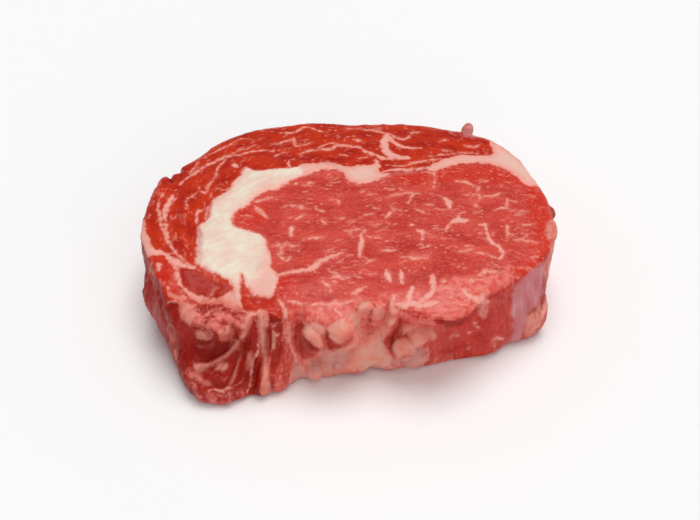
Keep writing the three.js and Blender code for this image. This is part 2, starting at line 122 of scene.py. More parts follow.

# Closed patches: charts (f: the cut faces, w: the wall that the camera sees), kind, how far they stand proud,
# outline. A lean patch takes fat away.
# Hollow patches and dark patches are painted shade: a darker red laid on the meat.
PATCHES = [
    ("f", "fat", 0.35, KERNEL),
    ("f", "kernel", 0.0, KERNEL),
    ("f", "fat", 0.3, [
        (296, 167), (318, 163), (338, 164), (348, 167), (360, 165), (373, 164.5), (375.5, 158.5),
        (379, 163), (380.5, 173), (391, 174), (376, 180.5), (365, 184), (354, 183), (347, 179.5),
        (342, 172.5), (332, 169), (318, 171), (298, 178),
    ]),
    ("f", "fat", 0.25, [
        (428, 168), (442, 160), (462, 155), (483, 156), (493, 153), (490, 142), (500, 146), (515, 155),
        (529, 167), (536, 178), (543, 187), (537, 186.5), (528, 186), (517, 177), (505, 170), (493, 165),
        (478, 162.5), (459, 164), (446, 167.5), (433, 171),
    ]),
    ("f", "fat", 0.1, [
        (140, 219), (144, 221), (146, 230), (149.5, 240), (154, 248), (162, 250.5), (169, 255.5),
        (182, 262), (196, 267.5), (187, 268.5), (174, 264.5), (162, 254.5), (155, 255.5), (147, 258),
        (141, 244), (139, 233),
    ]),
    ("f", "lean", 0.15, [
        (178, 268), (188, 268), (200, 271), (214.5, 279), (225, 283.5), (230, 288), (225, 293),
        (220, 296.5), (211, 294.5), (204, 294.5), (195, 290.5), (186, 287), (180, 280),
    ]),
    ("fw", "hollow_shade", 0.0, [
        (180, 269), (198, 272), (213, 280), (225, 286), (215, 294), (198, 290), (183, 283),
    ]),
    ("f", "fat", 0.2, [
        (177, 282), (186, 288), (195, 293), (205, 296.5), (221, 298), (231, 292), (238, 300), (243, 310),
        (236, 312), (228, 307.5), (216, 304.5), (206, 304), (199, 303), (192, 297), (184, 291),
    ]),
    ("f", "ember", 0.1, [
        (173, 287), (184, 292.5), (192, 298), (199, 304), (193, 306), (187, 300), (178, 296), (171, 291),
    ]),
    ("f", "fat", 0.1, [
        (444.5, 230), (450, 223), (458.5, 215.5), (461, 218), (470, 218.5), (466, 222), (455, 222.5),
        (447, 229),
    ]),
    ("f", "ember", 0.0, [
        (234, 220), (241, 209), (255, 202), (266, 206), (264, 218), (254, 228), (240, 225),
    ]),
    ("f", "ember", 0.0, [
        (278, 280), (292, 276), (300, 290), (310, 306), (296, 312), (286, 304), (278, 294),
    ]),
    ("f", "ember", 0.0, [
        (340, 284), (366, 280), (398, 284), (402, 294), (380, 300), (350, 300), (336, 294),
    ]),
    ("f", "ember", 0.0, [
        (396, 176), (430, 172), (464, 166), (500, 169), (526, 184), (500, 184), (450, 182), (410, 184),
    ]),
    ("f", "ember", 0.0, [
        (526, 188), (541, 190), (549, 206), (552, 222), (548, 240), (536, 234), (530, 214),
    ]),
    ("f", "ember", 0.0, [(452, 284), (476, 279), (500, 280), (498, 292), (476, 298), (456, 296)]),
    ("f", "ember", 0.0, [
        (244, 287), (250, 298), (264, 299), (274, 303), (282, 312), (284, 322), (268, 312), (252, 309),
        (243, 308),
    ]),
    ("f", "lean", 0.1, [
        (207, 306), (214, 303.5), (222, 304), (230, 307.5), (237, 313), (228, 313.5), (218, 310.5),
    ]),
    ("fw", "lean", 0.1, [
        (242, 284), (247, 291.5), (250.5, 297), (264, 297), (274, 300.5), (281.5, 309), (286, 318),
        (288, 340), (292, 384), (272, 389), (270, 350), (268, 312), (253, 309.5), (243.5, 309.5),
        (241, 302),
    ]),
    # the wall: silver skin at the right, then pale gristle and a dry brown edge
    ("w", "film", 0.15, [
        (543, 261), (530, 271), (517, 283), (513, 292), (511, 303), (510, 313), (513, 320), (512, 332),
        (507, 341), (498, 349), (489, 357), (504, 351.5), (518, 346), (523, 334), (527, 321), (531, 311),
        (540, 303), (544, 290), (545, 272),
    ]),
    ("w", "veil", 0.1, [
        (525, 318), (532, 311), (541, 304), (545, 311), (541, 324), (534, 334), (526, 338),
    ]),
    ("w", "crust", 0.0, [
        (500, 353), (510, 348.5), (522, 344), (534, 335), (539, 328), (540, 338), (522, 352), (502, 360),
    ]),
    ("fw", "veil", 0.7, [(546, 224), (553, 221), (557, 229), (557, 237), (551, 241), (546, 236)]),
    ("fw", "veil", 0.5, [(479, 306), (483, 303), (487, 306), (487, 316), (483, 319), (479, 315)]),
    ("fw", "film", 0.0, [(463, 137), (464, 127), (467, 119), (475, 119), (480, 129), (479, 137)]),
    ("fw", "crust", 0.0, [(549, 202), (553, 200), (558, 206), (558, 213), (554, 218), (550, 215)]),
    # the rib side: the fat that lay against the bone, in lobes, with red hollows between them
    ("w", "fat", 0.2, [
        (320, 352), (332, 349), (347, 345), (358, 343), (372, 341), (382, 342), (386, 350), (392, 356),
        (391, 366), (380, 371), (362, 374.5), (345, 373), (330, 370), (322, 368),
    ]),
    ("w", "fat", 0.4, [
        (344, 344), (358, 339), (368, 334), (376, 326), (384, 317), (391, 309), (397, 312), (394, 322),
        (388, 332), (381, 340), (368, 345), (352, 348),
    ]),
    ("w", "fat", 0.9, [
        (303, 333), (304, 327), (308, 324), (316, 323.5), (323, 326), (325, 331), (324, 338), (326, 346),
        (322, 349), (317, 347), (311, 340), (306, 336),
    ]),
    ("w", "fat", 0.9, [
        (327, 332), (331, 326), (338, 321), (346, 317), (352, 312), (359, 311), (361, 318), (358, 327),
        (353, 334), (347, 339), (339, 340), (332, 338),
    ]),
    ("fw", "fat", 0.7, [
        (357, 309), (360, 304), (366, 301.5), (371, 305), (373, 311), (366, 314), (358, 313),
    ]),
    ("w", "fat", 0.3, [
        (351, 334), (357, 328), (364, 331), (372, 331), (380, 322), (386, 316), (380, 334), (366, 342),
        (350, 345),
    ]),
    ("w", "melt", 0.0, [(370, 355), (392, 355), (396, 374), (384, 380), (364, 380)]),
    ("fw", "salmon", 0.0, [(352, 299), (372, 297), (390, 302), (392, 330), (352, 330)]),
    ("w", "fat", 0.5, [(362, 334), (366, 331), (371, 333), (370, 338), (364, 338)]),
    ("w", "veil", 0.5, [(372, 308), (378, 305), (384, 309), (386, 316), (380, 320), (373, 319)]),
    ("w", "fat", 0.6, [
        (392, 350), (393, 343), (397, 338), (404, 337), (411, 341), (414, 347), (409, 353), (403, 357),
        (396, 356),
    ]),
    ("w", "veil", 0.4, [
        (400, 334), (410, 328), (420, 326), (431, 329), (436, 333), (434.5, 341), (428, 340), (421, 346),
        (411, 347), (402, 341),
    ]),
    ("w", "fat", 0.4, [
        (308, 363), (313, 359), (320, 359), (322.5, 366), (321, 374), (313, 373), (309, 368),
    ]),
    ("w", "fat", 0.2, [
        (290, 372), (300, 366), (312, 372), (324, 368), (340, 371), (330, 380), (308, 384), (290, 388),
    ]),
    ("w", "film", 0.0, [
        (321, 352), (332, 349), (346, 350), (351, 355), (346, 366), (334, 372), (324, 368),
    ]),
    ("w", "film", 0.1, [
        (405, 356), (412, 350), (420, 346), (426, 347), (428, 351), (426, 358), (422, 363), (415, 366),
        (404, 367), (392, 366), (390, 361), (396, 357),
    ]),
    ("w", "film", 0.1, [
        (292, 357), (297, 359), (300, 368), (308, 372), (318, 376), (305, 380), (294, 383), (292, 370),
    ]),
    # painted shade in the red hollows beside the lumps
    ("w", "hollow_shade", -0.3, [
        (297, 323), (302, 321), (303, 329), (303, 335), (308, 340), (315, 347), (320, 351), (315, 357),
        (303, 358), (296, 350), (294, 338),
    ]),
    ("w", "dark_shade", -1.2, [(302, 336), (307, 340), (314, 346), (320, 351), (311, 351), (305, 345)]),
    ("w", "hollow_shade", -0.4, [
        (325, 332), (328, 338), (333, 342), (340, 343), (347, 340), (352, 335), (352, 341), (346, 346),
        (336, 349), (327, 345),
    ]),
    ("w", "ember", 0.0, [(361, 319), (368, 318), (377, 320), (374, 328), (365, 331), (361, 327)]),
    ("w", "ember", 0.0, [(386, 324), (394, 318), (404, 318), (402, 330), (394, 340), (386, 340)]),
    ("w", "film", 0.0, [(309, 361), (320, 359), (322, 367), (319, 373), (311, 372)]),
    ("w", "hollow_shade", 0.0, [
        (384, 341), (391, 334), (396, 326), (399, 319), (403, 319), (401, 327), (397, 334), (393, 341),
        (391, 349), (388, 349),
    ]),
    ("w", "ember", 1.6, [
        (400, 318), (412, 317), (418, 322), (414, 332), (404, 339), (397, 336), (400, 327),
    ]),
    ("w", "veil", 0.4, [(401, 327), (408, 322), (412, 326), (408, 334), (402, 337)]),
    # the tail: torn lumps, a hollow painted in shade, pale membranes that sweep round it
    ("fw", "ember", 0.1, [
        (150, 258), (160, 253), (172, 262), (180, 270), (176, 285), (186, 296), (180, 305), (168, 300),
        (160, 285), (153, 272),
    ]),
    ("w", "hollow_shade", -0.4, [
        (167, 312), (176, 309), (181, 320), (192, 326), (196, 334), (190, 342), (183, 336), (176, 328),
        (168, 322),
    ]),
    ("w", "veil", 0.6, [
        (179, 303), (188, 303), (196, 306), (194, 318), (190, 325), (183, 322), (180, 312),
    ]),
    ("w", "veil", 0.9, [
        (195, 333), (200, 331), (206, 330.5), (213, 333), (212, 339), (203, 340), (196, 337),
    ]),
    ("w", "fat", 1.0, [(219, 332), (226, 325.5), (232, 330), (232, 337), (227, 341), (220, 340)]),
    ("w", "fat", 0.5, [(226, 319), (231, 317.5), (235, 320), (232, 323), (227, 322)]),
    ("w", "hollow_shade", -0.5, [(229, 328), (236, 326), (241, 329), (240, 337), (234, 339), (232, 334)]),
    ("w", "dark_shade", -0.7, [
        (193, 350), (200, 347), (215, 344), (228, 340), (232, 343), (228, 352), (218, 358), (208, 364),
        (198, 361), (192, 356),
    ]),
    ("w", "veil", 0.6, [(193, 363), (203, 363), (211, 366), (204, 371), (194, 370)]),
    ("w", "veil", 0.4, [(217, 366), (222, 363), (228, 363.5), (227, 369), (221, 372), (217, 370)]),
    ("w", "mottle", 0.1, [
        (196, 392), (206, 394), (222, 394), (234, 391), (244, 390), (243, 398), (230, 404), (208, 404),
        (196, 398),
    ]),
    ("w", "mottle", 0.1, [(186, 372), (194, 370), (200, 376), (204, 386), (198, 392), (190, 384)]),
    ("w", "veil", 0.2, [(248, 354), (252, 352), (254, 358), (251, 367), (248, 369), (247, 361)]),
    # the strips beside it
    ("w", "veil", 0.4, [
        (257, 312), (262, 310.5), (268, 312), (267.5, 330), (268, 345), (268, 365), (269, 380), (271, 392),
        (261, 393), (262, 378), (262, 362), (260, 346), (258, 330),
    ]),
    ("w", "veil", 0.2, [
        (246, 313), (252, 312), (252, 320), (249, 330), (244, 340), (241, 338), (243, 326),
    ]),
    ("w", "ember", 0.0, [(287, 311), (300, 309), (302, 322), (296, 336), (290, 340), (288, 326)]),
    # mottled pink where thin fat lies over torn meat
    ("fw", "mottle", 0.1, [
        (206, 312), (222, 307), (240, 314), (246, 322), (243, 330), (228, 328), (214, 330), (196, 326),
        (190, 312),
    ]),
    # the eye's front rim, pink partly its own and partly painted sheen
    ("f", "mottle", 0.1, [
        (296, 309), (330, 303), (364, 296), (400, 292), (432, 290), (446, 278), (480, 276), (508, 272),
        (512, 280), (494, 300), (470, 316), (450, 322), (430, 316), (396, 310), (364, 312), (326, 322),
        (300, 326),
    ]),
    ("w", "mottle", 0.1, [
        (292, 318), (330, 312), (400, 300), (430, 306), (434, 330), (420, 350), (395, 372), (340, 374),
        (300, 382), (294, 350),
    ]),
]

# Lines: charts, kind, how far they stand proud, and for each its width and the pixels that it runs through.
# Hollow lines and dark lines are painted shade: darker reds along grooves, creases and slits.
LINES = [
    # the cap, on the left
    ("f", "seam", 0.05, [
        (1.3, [
            (180, 185), (186, 179), (201, 168), (215, 161), (226, 156), (241, 155), (248, 152), (262, 150),
            (274, 151.5),
        ]),
        (0.8, [(189, 174), (195, 166), (199, 162)]),
        (0.7, [(209, 154), (220, 149), (232, 143), (241, 138.5), (253, 139.5)]),
        (0.6, [(226, 156), (238, 151), (256, 145)]),
        (0.9, [
            (191, 196.5), (199, 191.5), (205, 193), (208, 186), (215, 177.5), (216.5, 170.5), (222, 162),
            (228, 157),
        ]),
        (0.7, [(199, 191.5), (198.5, 187)]),
        (0.6, [(186, 206), (188, 197.5), (193, 196.5)]),
        (0.8, [(170.5, 204.5), (177, 197.5)]),
        (1.0, [(165, 216), (166, 227), (168, 238), (171, 247)]),
        (0.7, [(161, 198), (163.5, 192)]),
        (0.8, [(216, 188), (225, 189.5), (231, 186)]),
        (1.2, [(197, 223), (197.5, 212), (205, 209.5)]),
        (0.8, [(205, 219), (207, 211), (212, 204)]),
        (0.7, [(275.5, 155), (285, 151.5)]),
    ]),
    # painted shade in the notch at the back
    ("fw", "dark_shade", -1.8, [(1.6, [(168, 172), (170, 176), (171.5, 181)])]),
    ("f", "fat", 0.1, [
        (2.2, [(164.5, 219), (165.5, 209.5), (169, 202.5), (173, 195)]),
        (1.4, [(233, 165.5), (238, 168)]),
    ]),
    ("f", "seam", 0.1, [(1.3, [
        (159, 200), (158, 210.5), (161, 221), (165.5, 234), (170.5, 245), (177.5, 254), (185, 261.5),
        (194, 267),
    ])]),
    ("f", "fat", 0.05, [(0.8, [(289, 161), (290, 168)])]),
    ("f", "film", 0.0, [
        (2.2, [(198.5, 226), (200.5, 236), (200, 248), (201, 262)]),
        (1.2, [(206, 219), (209, 209), (215, 200)]),
    ]),
    # the cap, along the back
    ("f", "seam", 0.05, [
        (1.0, [(281, 132), (294, 133), (305, 127), (318, 130.5), (327, 132)]),
        (1.1, [(270, 144), (282, 142.5), (293, 138.5), (295.5, 145), (304, 144), (312.5, 141.5)]),
        (0.6, [(316, 149), (327, 144), (339, 143.5)]),
        (1.2, [(347.5, 129), (357, 128), (373, 130), (386, 133), (403, 139), (413, 133), (418, 133)]),
        (1.4, [(353, 139), (362, 141.5)]),
        (1.0, [(340, 155), (347, 155)]),
        (0.7, [(358.5, 157.5), (369.5, 156.5)]),
        (0.9, [(386.5, 165), (403, 166), (420, 162), (430, 162)]),
        (0.7, [(270, 152), (275, 149)]),
        (0.7, [(275, 156), (283, 152.5)]),
        (1.4, [(443, 150), (453, 151.5)]),
        (0.9, [(439, 142), (445.5, 140)]),
        (0.9, [(412, 133), (418.5, 132)]),
        (0.7, [(428, 156.5), (442, 154.5), (459, 153), (478, 153.5)]),
        (0.7, [(410, 162.5), (426, 161), (441, 158)]),
    ]),
    ("f", "seam", 0.1, [
        (1.4, [
            (299, 153.5), (312.5, 150), (330.5, 149), (339, 145), (360, 147.5), (367, 152.5), (375.5, 155),
            (384, 158.5),
        ]),
        (1.6, [(463.5, 145.5), (473, 147), (480, 145)]),
    ]),
    ("f", "fat", 0.1, [
        (1.5, [(362, 149), (369, 153), (377, 156), (386, 158.5), (398, 158.5)]),
        (1.6, [(387, 134), (395, 142.5), (404.5, 147.5), (420, 148)]),
        (1.2, [(379, 172), (397, 170), (413, 169.5), (431, 167)]),
    ]),
    ("f", "fat", 0.2, [(3.6, [(387, 134), (384.5, 146), (389, 154), (399, 157.5), (409, 158.5)])]),
    ("f", "film", -0.1, [(0.9, [(375, 182), (388, 175.5), (403, 172.5), (430, 171)])]),
    # the eye muscle
    ("f", "fat", 0.15, [(1.8, [
        (280, 275), (290, 272), (310.5, 269), (319.5, 262.5), (331, 257), (342, 253),
    ])]),
    ("f", "seam", 0.05, [
        (0.9, [(434, 171), (434.5, 179.5), (434, 188)]),
        (1.3, [(508, 224.5), (507.5, 237)]),
        (1.0, [(514, 239.5), (527, 240.5), (537, 243)]),
        (0.8, [(521, 225), (534.5, 224)]),
        (0.7, [(493, 210), (505, 207.5), (515, 210), (529.5, 211)]),
        (0.6, [(507.5, 198), (506, 207.5)]),
        (0.6, [(509, 201), (520, 201)]),
        (1.1, [(455, 180.5), (463.5, 182), (473.5, 184.5)]),
        (0.9, [(481, 179.5), (488, 181)]),
        (0.9, [(477.5, 185.5), (479.5, 199)]),
        (0.6, [(466, 194), (478, 194)]),
        (0.7, [(483, 195.5), (493, 195.5), (501.5, 193)]),
        (1.1, [(475, 203.5), (477.5, 206)]),
        (0.9, [(417, 209.5), (425, 212.5)]),
        (0.6, [(424.5, 204), (433, 205)]),
        (1.1, [(420, 248), (431, 245.5)]),
        (0.7, [(410, 259), (428, 258)]),
        (0.7, [(459, 251.5), (473, 250)]),
        (0.7, [(476, 252.5), (488, 255)]),
        (1.0, [(333, 275.5), (343, 278), (350, 277.5)]),
        (1.3, [(323, 281), (330, 287.5)]),
        (0.8, [(352, 293), (366, 287)]),
        (1.2, [(441, 282), (446, 280)]),
        (1.3, [(479, 275), (486, 271.5), (495, 272)]),
        (1.1, [(281.5, 248), (280, 255.5), (286, 259), (291, 256.5)]),
        (0.6, [(271, 246), (283, 245), (300, 246)]),
        (1.2, [(254, 202.5), (262.5, 200), (272, 197)]),
        (1.0, [(361.5, 234), (365, 230)]),
        (0.9, [(364.5, 263), (375.5, 258.5)]),
        (0.9, [(286, 205), (306, 207)]),
        (1.3, [(316, 208), (323, 211)]),
        (0.7, [(329.5, 199.5), (338, 200.5), (338.5, 204)]),
        (1.1, [(308, 183), (311, 181.5)]),
        (1.1, [(295.5, 219), (305, 215.5)]),
        (1.1, [(301.5, 239.5), (315, 237.5), (324.5, 237)]),
        (0.7, [(345, 231), (360, 229)]),
        (0.7, [(369, 237), (380, 237.5)]),
        (0.6, [(373, 207), (379, 209.5)]),
        (0.6, [(364.5, 215), (373, 214)]),
        (0.7, [(391, 205), (393, 211), (397, 209)]),
        (1.0, [(413, 194), (408, 203)]),
        (0.7, [(391, 195), (403, 193), (420, 193)]),
        (0.8, [(370.5, 225), (380.5, 224)]),
        (0.7, [(381.5, 250.5), (396, 249.5)]),
        (0.9, [(400, 257), (415.5, 257), (429, 258)]),
        (0.8, [(321, 219), (326, 224)]),
        (0.9, [(339, 219), (344, 217)]),
    ]),
    ("f", "fat", 0.1, [
        (2.2, [(445.5, 198), (449, 203), (450.5, 208)]),
        (1.6, [
            (478, 224.5), (485.5, 224.5), (487, 232), (489.5, 239.5), (498, 246.5), (503, 253), (500, 259),
        ]),
        (1.4, [(417, 229.5), (422.5, 233), (422, 240)]),
        (1.6, [(410.5, 224), (413, 225.5)]),
        (1.6, [(386, 271), (390, 281)]),
        (1.6, [(401, 271.5), (402, 283)]),
        (1.7, [(471, 280), (474, 283)]),
        (1.7, [(292, 227), (291, 236)]),
        (1.7, [(361.5, 234), (360.5, 245), (359.5, 256)]),
    ]),
    ("fw", "fat", 0.2, [
        (2.2, [(433, 276), (433, 289.5), (426, 298), (418, 303)]),
        (2.0, [(412.5, 287), (409, 298), (410.5, 306)]),
        (2.6, [(398, 305), (410.5, 304), (424, 306), (436.5, 302)]),
    ]),
    ("fw", "fat", 0.1, [(1.8, [(462, 289), (467.5, 295), (478, 300), (488, 302)])]),
    ("f", "seam", 0.0, [(1.6, [(255, 206), (261, 212), (266, 217)])]),
    ("f", "film", 0.0, [(0.8, [(300, 165.5), (318, 163.5), (335, 166.5), (343, 172)])]),
    ("f", "fat", 0.05, [
        (1.3, [(293, 184.5), (297, 183.5)]),
        (1.3, [(391, 211), (386.5, 218)]),
        (1.2, [(386, 241), (389, 240.5)]),
    ]),
    # the tail's upper face
    ("f", "seam", 0.05, [
        (1.6, [(179, 265), (176.5, 274), (179, 283)]),
        (1.2, [(212, 295), (214, 290), (219, 287)]),
        (1.0, [(241, 309), (247, 313.5), (255, 312.5), (267, 310)]),
    ]),
    ("f", "fat", 0.1, [
        (2.0, [(158, 264), (160, 270)]),
        (1.3, [(166, 288), (172, 296), (180, 299), (186, 298), (188, 304)]),
        (1.8, [(231, 320), (233, 321)]),
    ]),
    ("f", "seam", 0.1, [
        (2.0, [(175, 264), (176.5, 274), (180, 284)]),
        (0.7, [(167, 302.5), (178, 302)]),
    ]),
    # painted shade in a slit
    ("f", "dark_shade", -1.2, [(0.8, [(168, 304.5), (177, 306)])]),
    # the wall of the tail and the strips beside it
    ("w", "veil", 0.1, [
        (0.8, [(150.5, 268), (154, 281), (157, 298), (158.5, 312), (163, 322)]),
        (1.6, [(166, 318), (171, 331), (175, 345), (177, 358)]),
    ]),
    # painted shade down the left wall, darker still along its crease
    ("w", "hollow_shade", 0.0, [(5.0, [(151, 284), (154, 300), (159, 318), (164, 332)])]),
    ("w", "dark_shade", -0.7, [(1.4, [(157, 281), (160, 298), (161, 312), (166, 322), (173, 334), (176, 348)])]),
    ("w", "hollow_shade", -0.4, [
        (1.2, [(180, 334), (186, 344), (190, 356), (193, 372)]),
        (1.4, [(236, 350), (234, 362), (231, 374), (227, 384)]),
        (1.4, [(255, 318), (254, 330), (256, 342)]),
    ]),
    ("w", "veil", 0.3, [
        (1.0, [(198, 346), (206, 348), (214, 345)]),
        (1.0, [(240, 348), (238, 362), (234, 376), (230, 386)]),
        (0.9, [(190, 374), (200, 381), (212, 384)]),
    ]),
    ("w", "veil", 0.7, [(2.2, [
        (196, 367), (205, 366), (214, 362.5), (223, 357), (231, 350), (238, 343), (243, 333), (246, 321),
    ])]),
    ("w", "seam", 0.3, [
        (0.6, [(229, 347), (232, 340), (237, 341), (236, 347)]),
        (1.1, [(208, 391), (214, 390), (221, 390.5), (232, 387.5)]),
    ]),
    ("w", "hollow_shade", -0.7, [(1.8, [
        (204, 370), (213, 371), (222, 376), (231, 370), (237, 358), (242, 346),
    ])]),
    ("w", "hollow_shade", -0.5, [
        (1.4, [(244, 348), (241, 364), (237, 378), (235, 386)]),
        (1.5, [(270, 318), (271, 334), (271, 348), (273, 368)]),
    ]),
    ("w", "dark_shade", -0.6, [(1.0, [(216.5, 386), (225, 387.5)])]),
    ("w", "seam", 0.5, [(1.1, [
        (258, 344), (257.5, 352), (254, 363), (251.5, 372), (251, 381), (249, 388), (246, 393),
    ])]),
    ("w", "dark_shade", -0.9, [(1.5, [(257, 360), (254.5, 372), (254, 381), (251, 391)])]),
    ("w", "seam", 0.2, [
        (1.2, [(262, 313), (262, 332), (264, 350), (265, 372), (266, 392)]),
        (0.6, [(283, 309), (284, 322), (285.5, 338)]),
    ]),
    ("w", "hollow_shade", -0.3, [(1.0, [(284.5, 340), (283, 352), (284, 366), (285, 384)])]),
    ("w", "seam", 0.1, [(0.7, [(274, 338), (279, 333)])]),
    ("fw", "seam", 0.3, [(1.2, [
        (275.5, 299), (281, 303), (285.5, 309), (287.5, 320), (289, 335), (291, 346), (294, 355),
        (296, 361),
    ])]),
    # the rib side and the flank
    ("fw", "fat", 0.3, [(1.9, [(393.5, 296), (392, 308), (395, 315)])]),
    ("w", "dark_shade", -0.3, [
        (0.9, [(326, 333), (327, 339), (332, 342)]),
        (0.7, [(529, 314), (535, 309)]),
        (1.4, [(544, 276), (544, 292), (542, 308)]),
    ]),
    ("w", "dark_shade", -0.2, [(0.7, [(393, 339), (391, 346), (392, 352)])]),
    ("w", "seam", 0.1, [
        (0.7, [(545, 272), (541, 281), (540, 288)]),
        (0.8, [(427, 348), (428, 356), (423, 363)]),
    ]),
    ("w", "fat", 0.1, [(1.6, [(549, 262), (550, 280), (547, 300), (542, 318)])]),
    ("fw", "veil", 0.1, [(1.8, [(551, 238), (552, 250), (551, 264)])]),
    # under the eye's flap: a painted shadow along its edge, then what lies below it
    ("w", "dark_shade", -0.4, [(2.6, [
        (429, 318), (438, 320), (445, 323), (452, 324.5), (460, 322.5), (468, 318),
    ])]),
    ("fw", "hollow_shade", -0.4, [(1.6, [(487, 298), (494, 297), (503, 297)])]),
    ("w", "seam", 0.2, [
        (1.2, [(475, 323), (476.5, 325)]),
        (1.0, [(477.5, 327), (478.5, 328.5)]),
        (0.9, [(469, 332), (471.5, 333)]),
    ]),
    ("w", "seam", 0.1, [(0.9, [(495, 339), (503, 338.5)])]),
    ("w", "veil", 0.1, [
        (0.9, [(449, 339), (453, 336), (458, 334)]),
        (0.8, [(493, 340), (494.5, 348)]),
    ]),
    ("w", "hollow_shade", -0.2, [
        (1.2, [(503, 304), (506, 318), (508, 328)]),
        (1.4, [(440, 352), (456, 349), (470, 344)]),
    ]),
    # streaks on the ridge beside the crevice
    ("w", "seam", 0.3, [
        (0.8, [(391, 319), (386, 326), (381, 333)]),
        (0.6, [(388, 318), (383, 325), (379, 330)]),
    ]),
    ("w", "dark_shade", -0.3, [(0.6, [(371, 310), (370, 316), (371, 321)])]),
    # folds at the eye's front edge
    ("f", "seam", 0.2, [(0.8, [(291, 301), (303, 304), (318, 304.5), (333, 304), (345, 303), (352, 301)])]),
    ("f", "seam", 0.1, [
        (1.3, [(352, 293.5), (357, 293), (362, 289)]),
        (0.7, [(331, 306), (337, 312), (346, 318)]),
    ]),
]

# Where the cream-coloured fat of the cut faces turns pink.
BLUSHES = [
    [(346, 168), (356, 163), (372, 160), (380, 158), (394, 172), (380, 183), (362, 187), (348, 181)],
    [(486, 150), (500, 150), (516, 160), (530, 172), (540, 184), (530, 184), (514, 172), (498, 162)],
    [(266, 238), (272, 262), (282, 275), (276, 298), (252, 299), (243, 288), (256, 278), (262, 258)],
    [
        (226, 282), (236, 284), (242, 300), (240, 312), (200, 306), (172, 288), (180, 284), (205, 297),
        (228, 296),
    ],
    [(306, 163), (340, 164), (346, 172), (340, 176), (318, 170), (306, 174)],
    [
        (205, 190), (222, 186), (234, 178), (240, 168), (245, 170), (238, 184), (227, 196), (212, 206),
        (206, 218),
    ],
    [
        (262, 188), (284, 182), (298, 178), (300, 186), (272, 196), (256, 204), (243, 214), (236, 224),
        (236, 214),
    ],
    [(428, 176), (440, 158), (470, 153), (492, 160), (500, 170), (470, 166), (446, 172)],
    [(136, 214), (150, 218), (158, 246), (200, 264), (200, 272), (160, 262), (140, 262)],
]

# Patches of the hidden wall, by direction and height: kind, how far they stand proud, outline.
HIDDEN_PATCHES = [
    # the rim's fat, coming down behind the eye in tongues
    ("fat", 0.3, [
        (24, 36), (25, 40), (45, 41), (66, 41), (69, 34), (64, 28), (66, 18), (60, 13), (61, 4), (56, -2),
        (48, 3), (42, -2), (35, 6), (36, 16), (31, 22), (32, 30),
    ]),
    ("blush", 0, [(22, -6), (22, 44), (72, 44), (72, -6)]),
    ("mottle", 0.1, [(17, 6), (18, 24), (25, 33), (33, 28), (33, 14), (28, 4)]),
    ("salmon", 0, [(30, -6), (44, -6), (50, 12), (44, 30), (52, 46), (24, 46), (24, 20)]),
    # smears of fat and silver skin over the cap
    ("veil", 0.2, [(78, 22), (84, 27), (92, 28), (97, 24), (90, 20), (82, 18)]),
    ("veil", 0.2, [(112, 14), (117, 22), (121, 31), (125, 34), (127, 26), (121, 16), (116, 10)]),
    ("veil", 0.2, [(134, 4), (138, 12), (142, 13), (143, 6), (139, 1)]),
    ("veil", 0.2, [(150, 24), (153, 34), (157, 36), (158, 28), (154, 20)]),
    ("fat", 0.3, [(165, 0), (166, 6), (171, 9), (176, 15), (180, 12), (179, 6), (182, 0), (174, -1)]),
    ("veil", 0.1, [(99, 3), (101, 10), (106, 13), (110, 8), (107, 2)]),
    # a little of the same round to the right-hand end
    ("mottle", 0.1, [(357, 4), (359, 18), (365, 24), (371, 15), (370, 4)]),
]

# Lines of the hidden wall: kind, width, how far they stand proud, the places that they run through.
# A hollow line here is a groove, sunk and darkened with painted shade.
HIDDEN_LINES = [
    ("fat", 1.6, 0.2, [(73, 39), (76, 28), (75, 14), (78, 0)]),
    ("veil", 1.6, 0.1, [(88, 39), (90, 30), (88, 20), (92, 12)]),
    ("seam", 0.9, 0.1, [(100, 39), (103, 28), (107, 20), (118, 16)]),
    ("seam", 0.8, 0.1, [(112, 3), (122, 2), (134, 5), (143, 3)]),
    ("fat", 1.4, 0.2, [(142, 39), (141, 26), (144, 12), (143, 0)]),
    ("veil", 1.8, 0.1, [(122, 39), (120, 26), (124, 14), (121, 4)]),
    ("veil", 1.4, 0.1, [(160, 36), (158, 22), (160, 8), (159, 0)]),
    ("fat", 1.2, 0.1, [(188, 39), (190, 26), (188, 12), (190, 0)]),
    ("hollow_shade", 1.2, -0.5, [(199, 34), (201, 24), (200, 12), (202, 3)]),
    ("veil", 1.4, 0.1, [(208, 38), (210, 26), (208, 14), (211, 2)]),
    ("hollow_shade", 0.9, -0.5, [(161.5, 38), (162, 30), (161, 24)]),
    ("hollow_shade", 1.3, -0.5, [(80, 38), (82, 28), (80, 14), (82, 2)]),
    ("hollow_shade", 1.3, -0.5, [(128, 38), (126, 30), (129, 18), (127, 8)]),
    ("hollow_shade", 1.1, -0.5, [(109, 38), (108, 26), (110, 14)]),
    ("seam", 1.0, 0.1, [(24, 38), (23, 24), (25, 8), (24, 0)]),
    ("fat", 1.4, 0.1, [(2, 30), (1, 18), (3, 6)]),
]


# ---------------------------------------------------------------- geometry helpers


def camera_axes():
    """The camera's right, up and backward directions."""
    lift = math.radians(CAMERA_ELEVATION)
    right = Vector((1, 0, 0))
    up = Vector((0, math.sin(lift), math.cos(lift)))
    back = Vector((0, -math.cos(lift), math.sin(lift)))
    return right, up, back


def sight_line(pixel):
    """Where the camera is, and which way it looks through a pixel."""
    right, up, back = camera_axes()
    focal = LENS / SENSOR * PHOTO_WIDTH
    across, rise = (pixel[0] - PHOTO_WIDTH / 2) / focal, (PHOTO_HEIGHT / 2 - pixel[1]) / focal
    return LOOK_AT + back * CAMERA_DISTANCE, (right * across + up * rise - back).normalized()


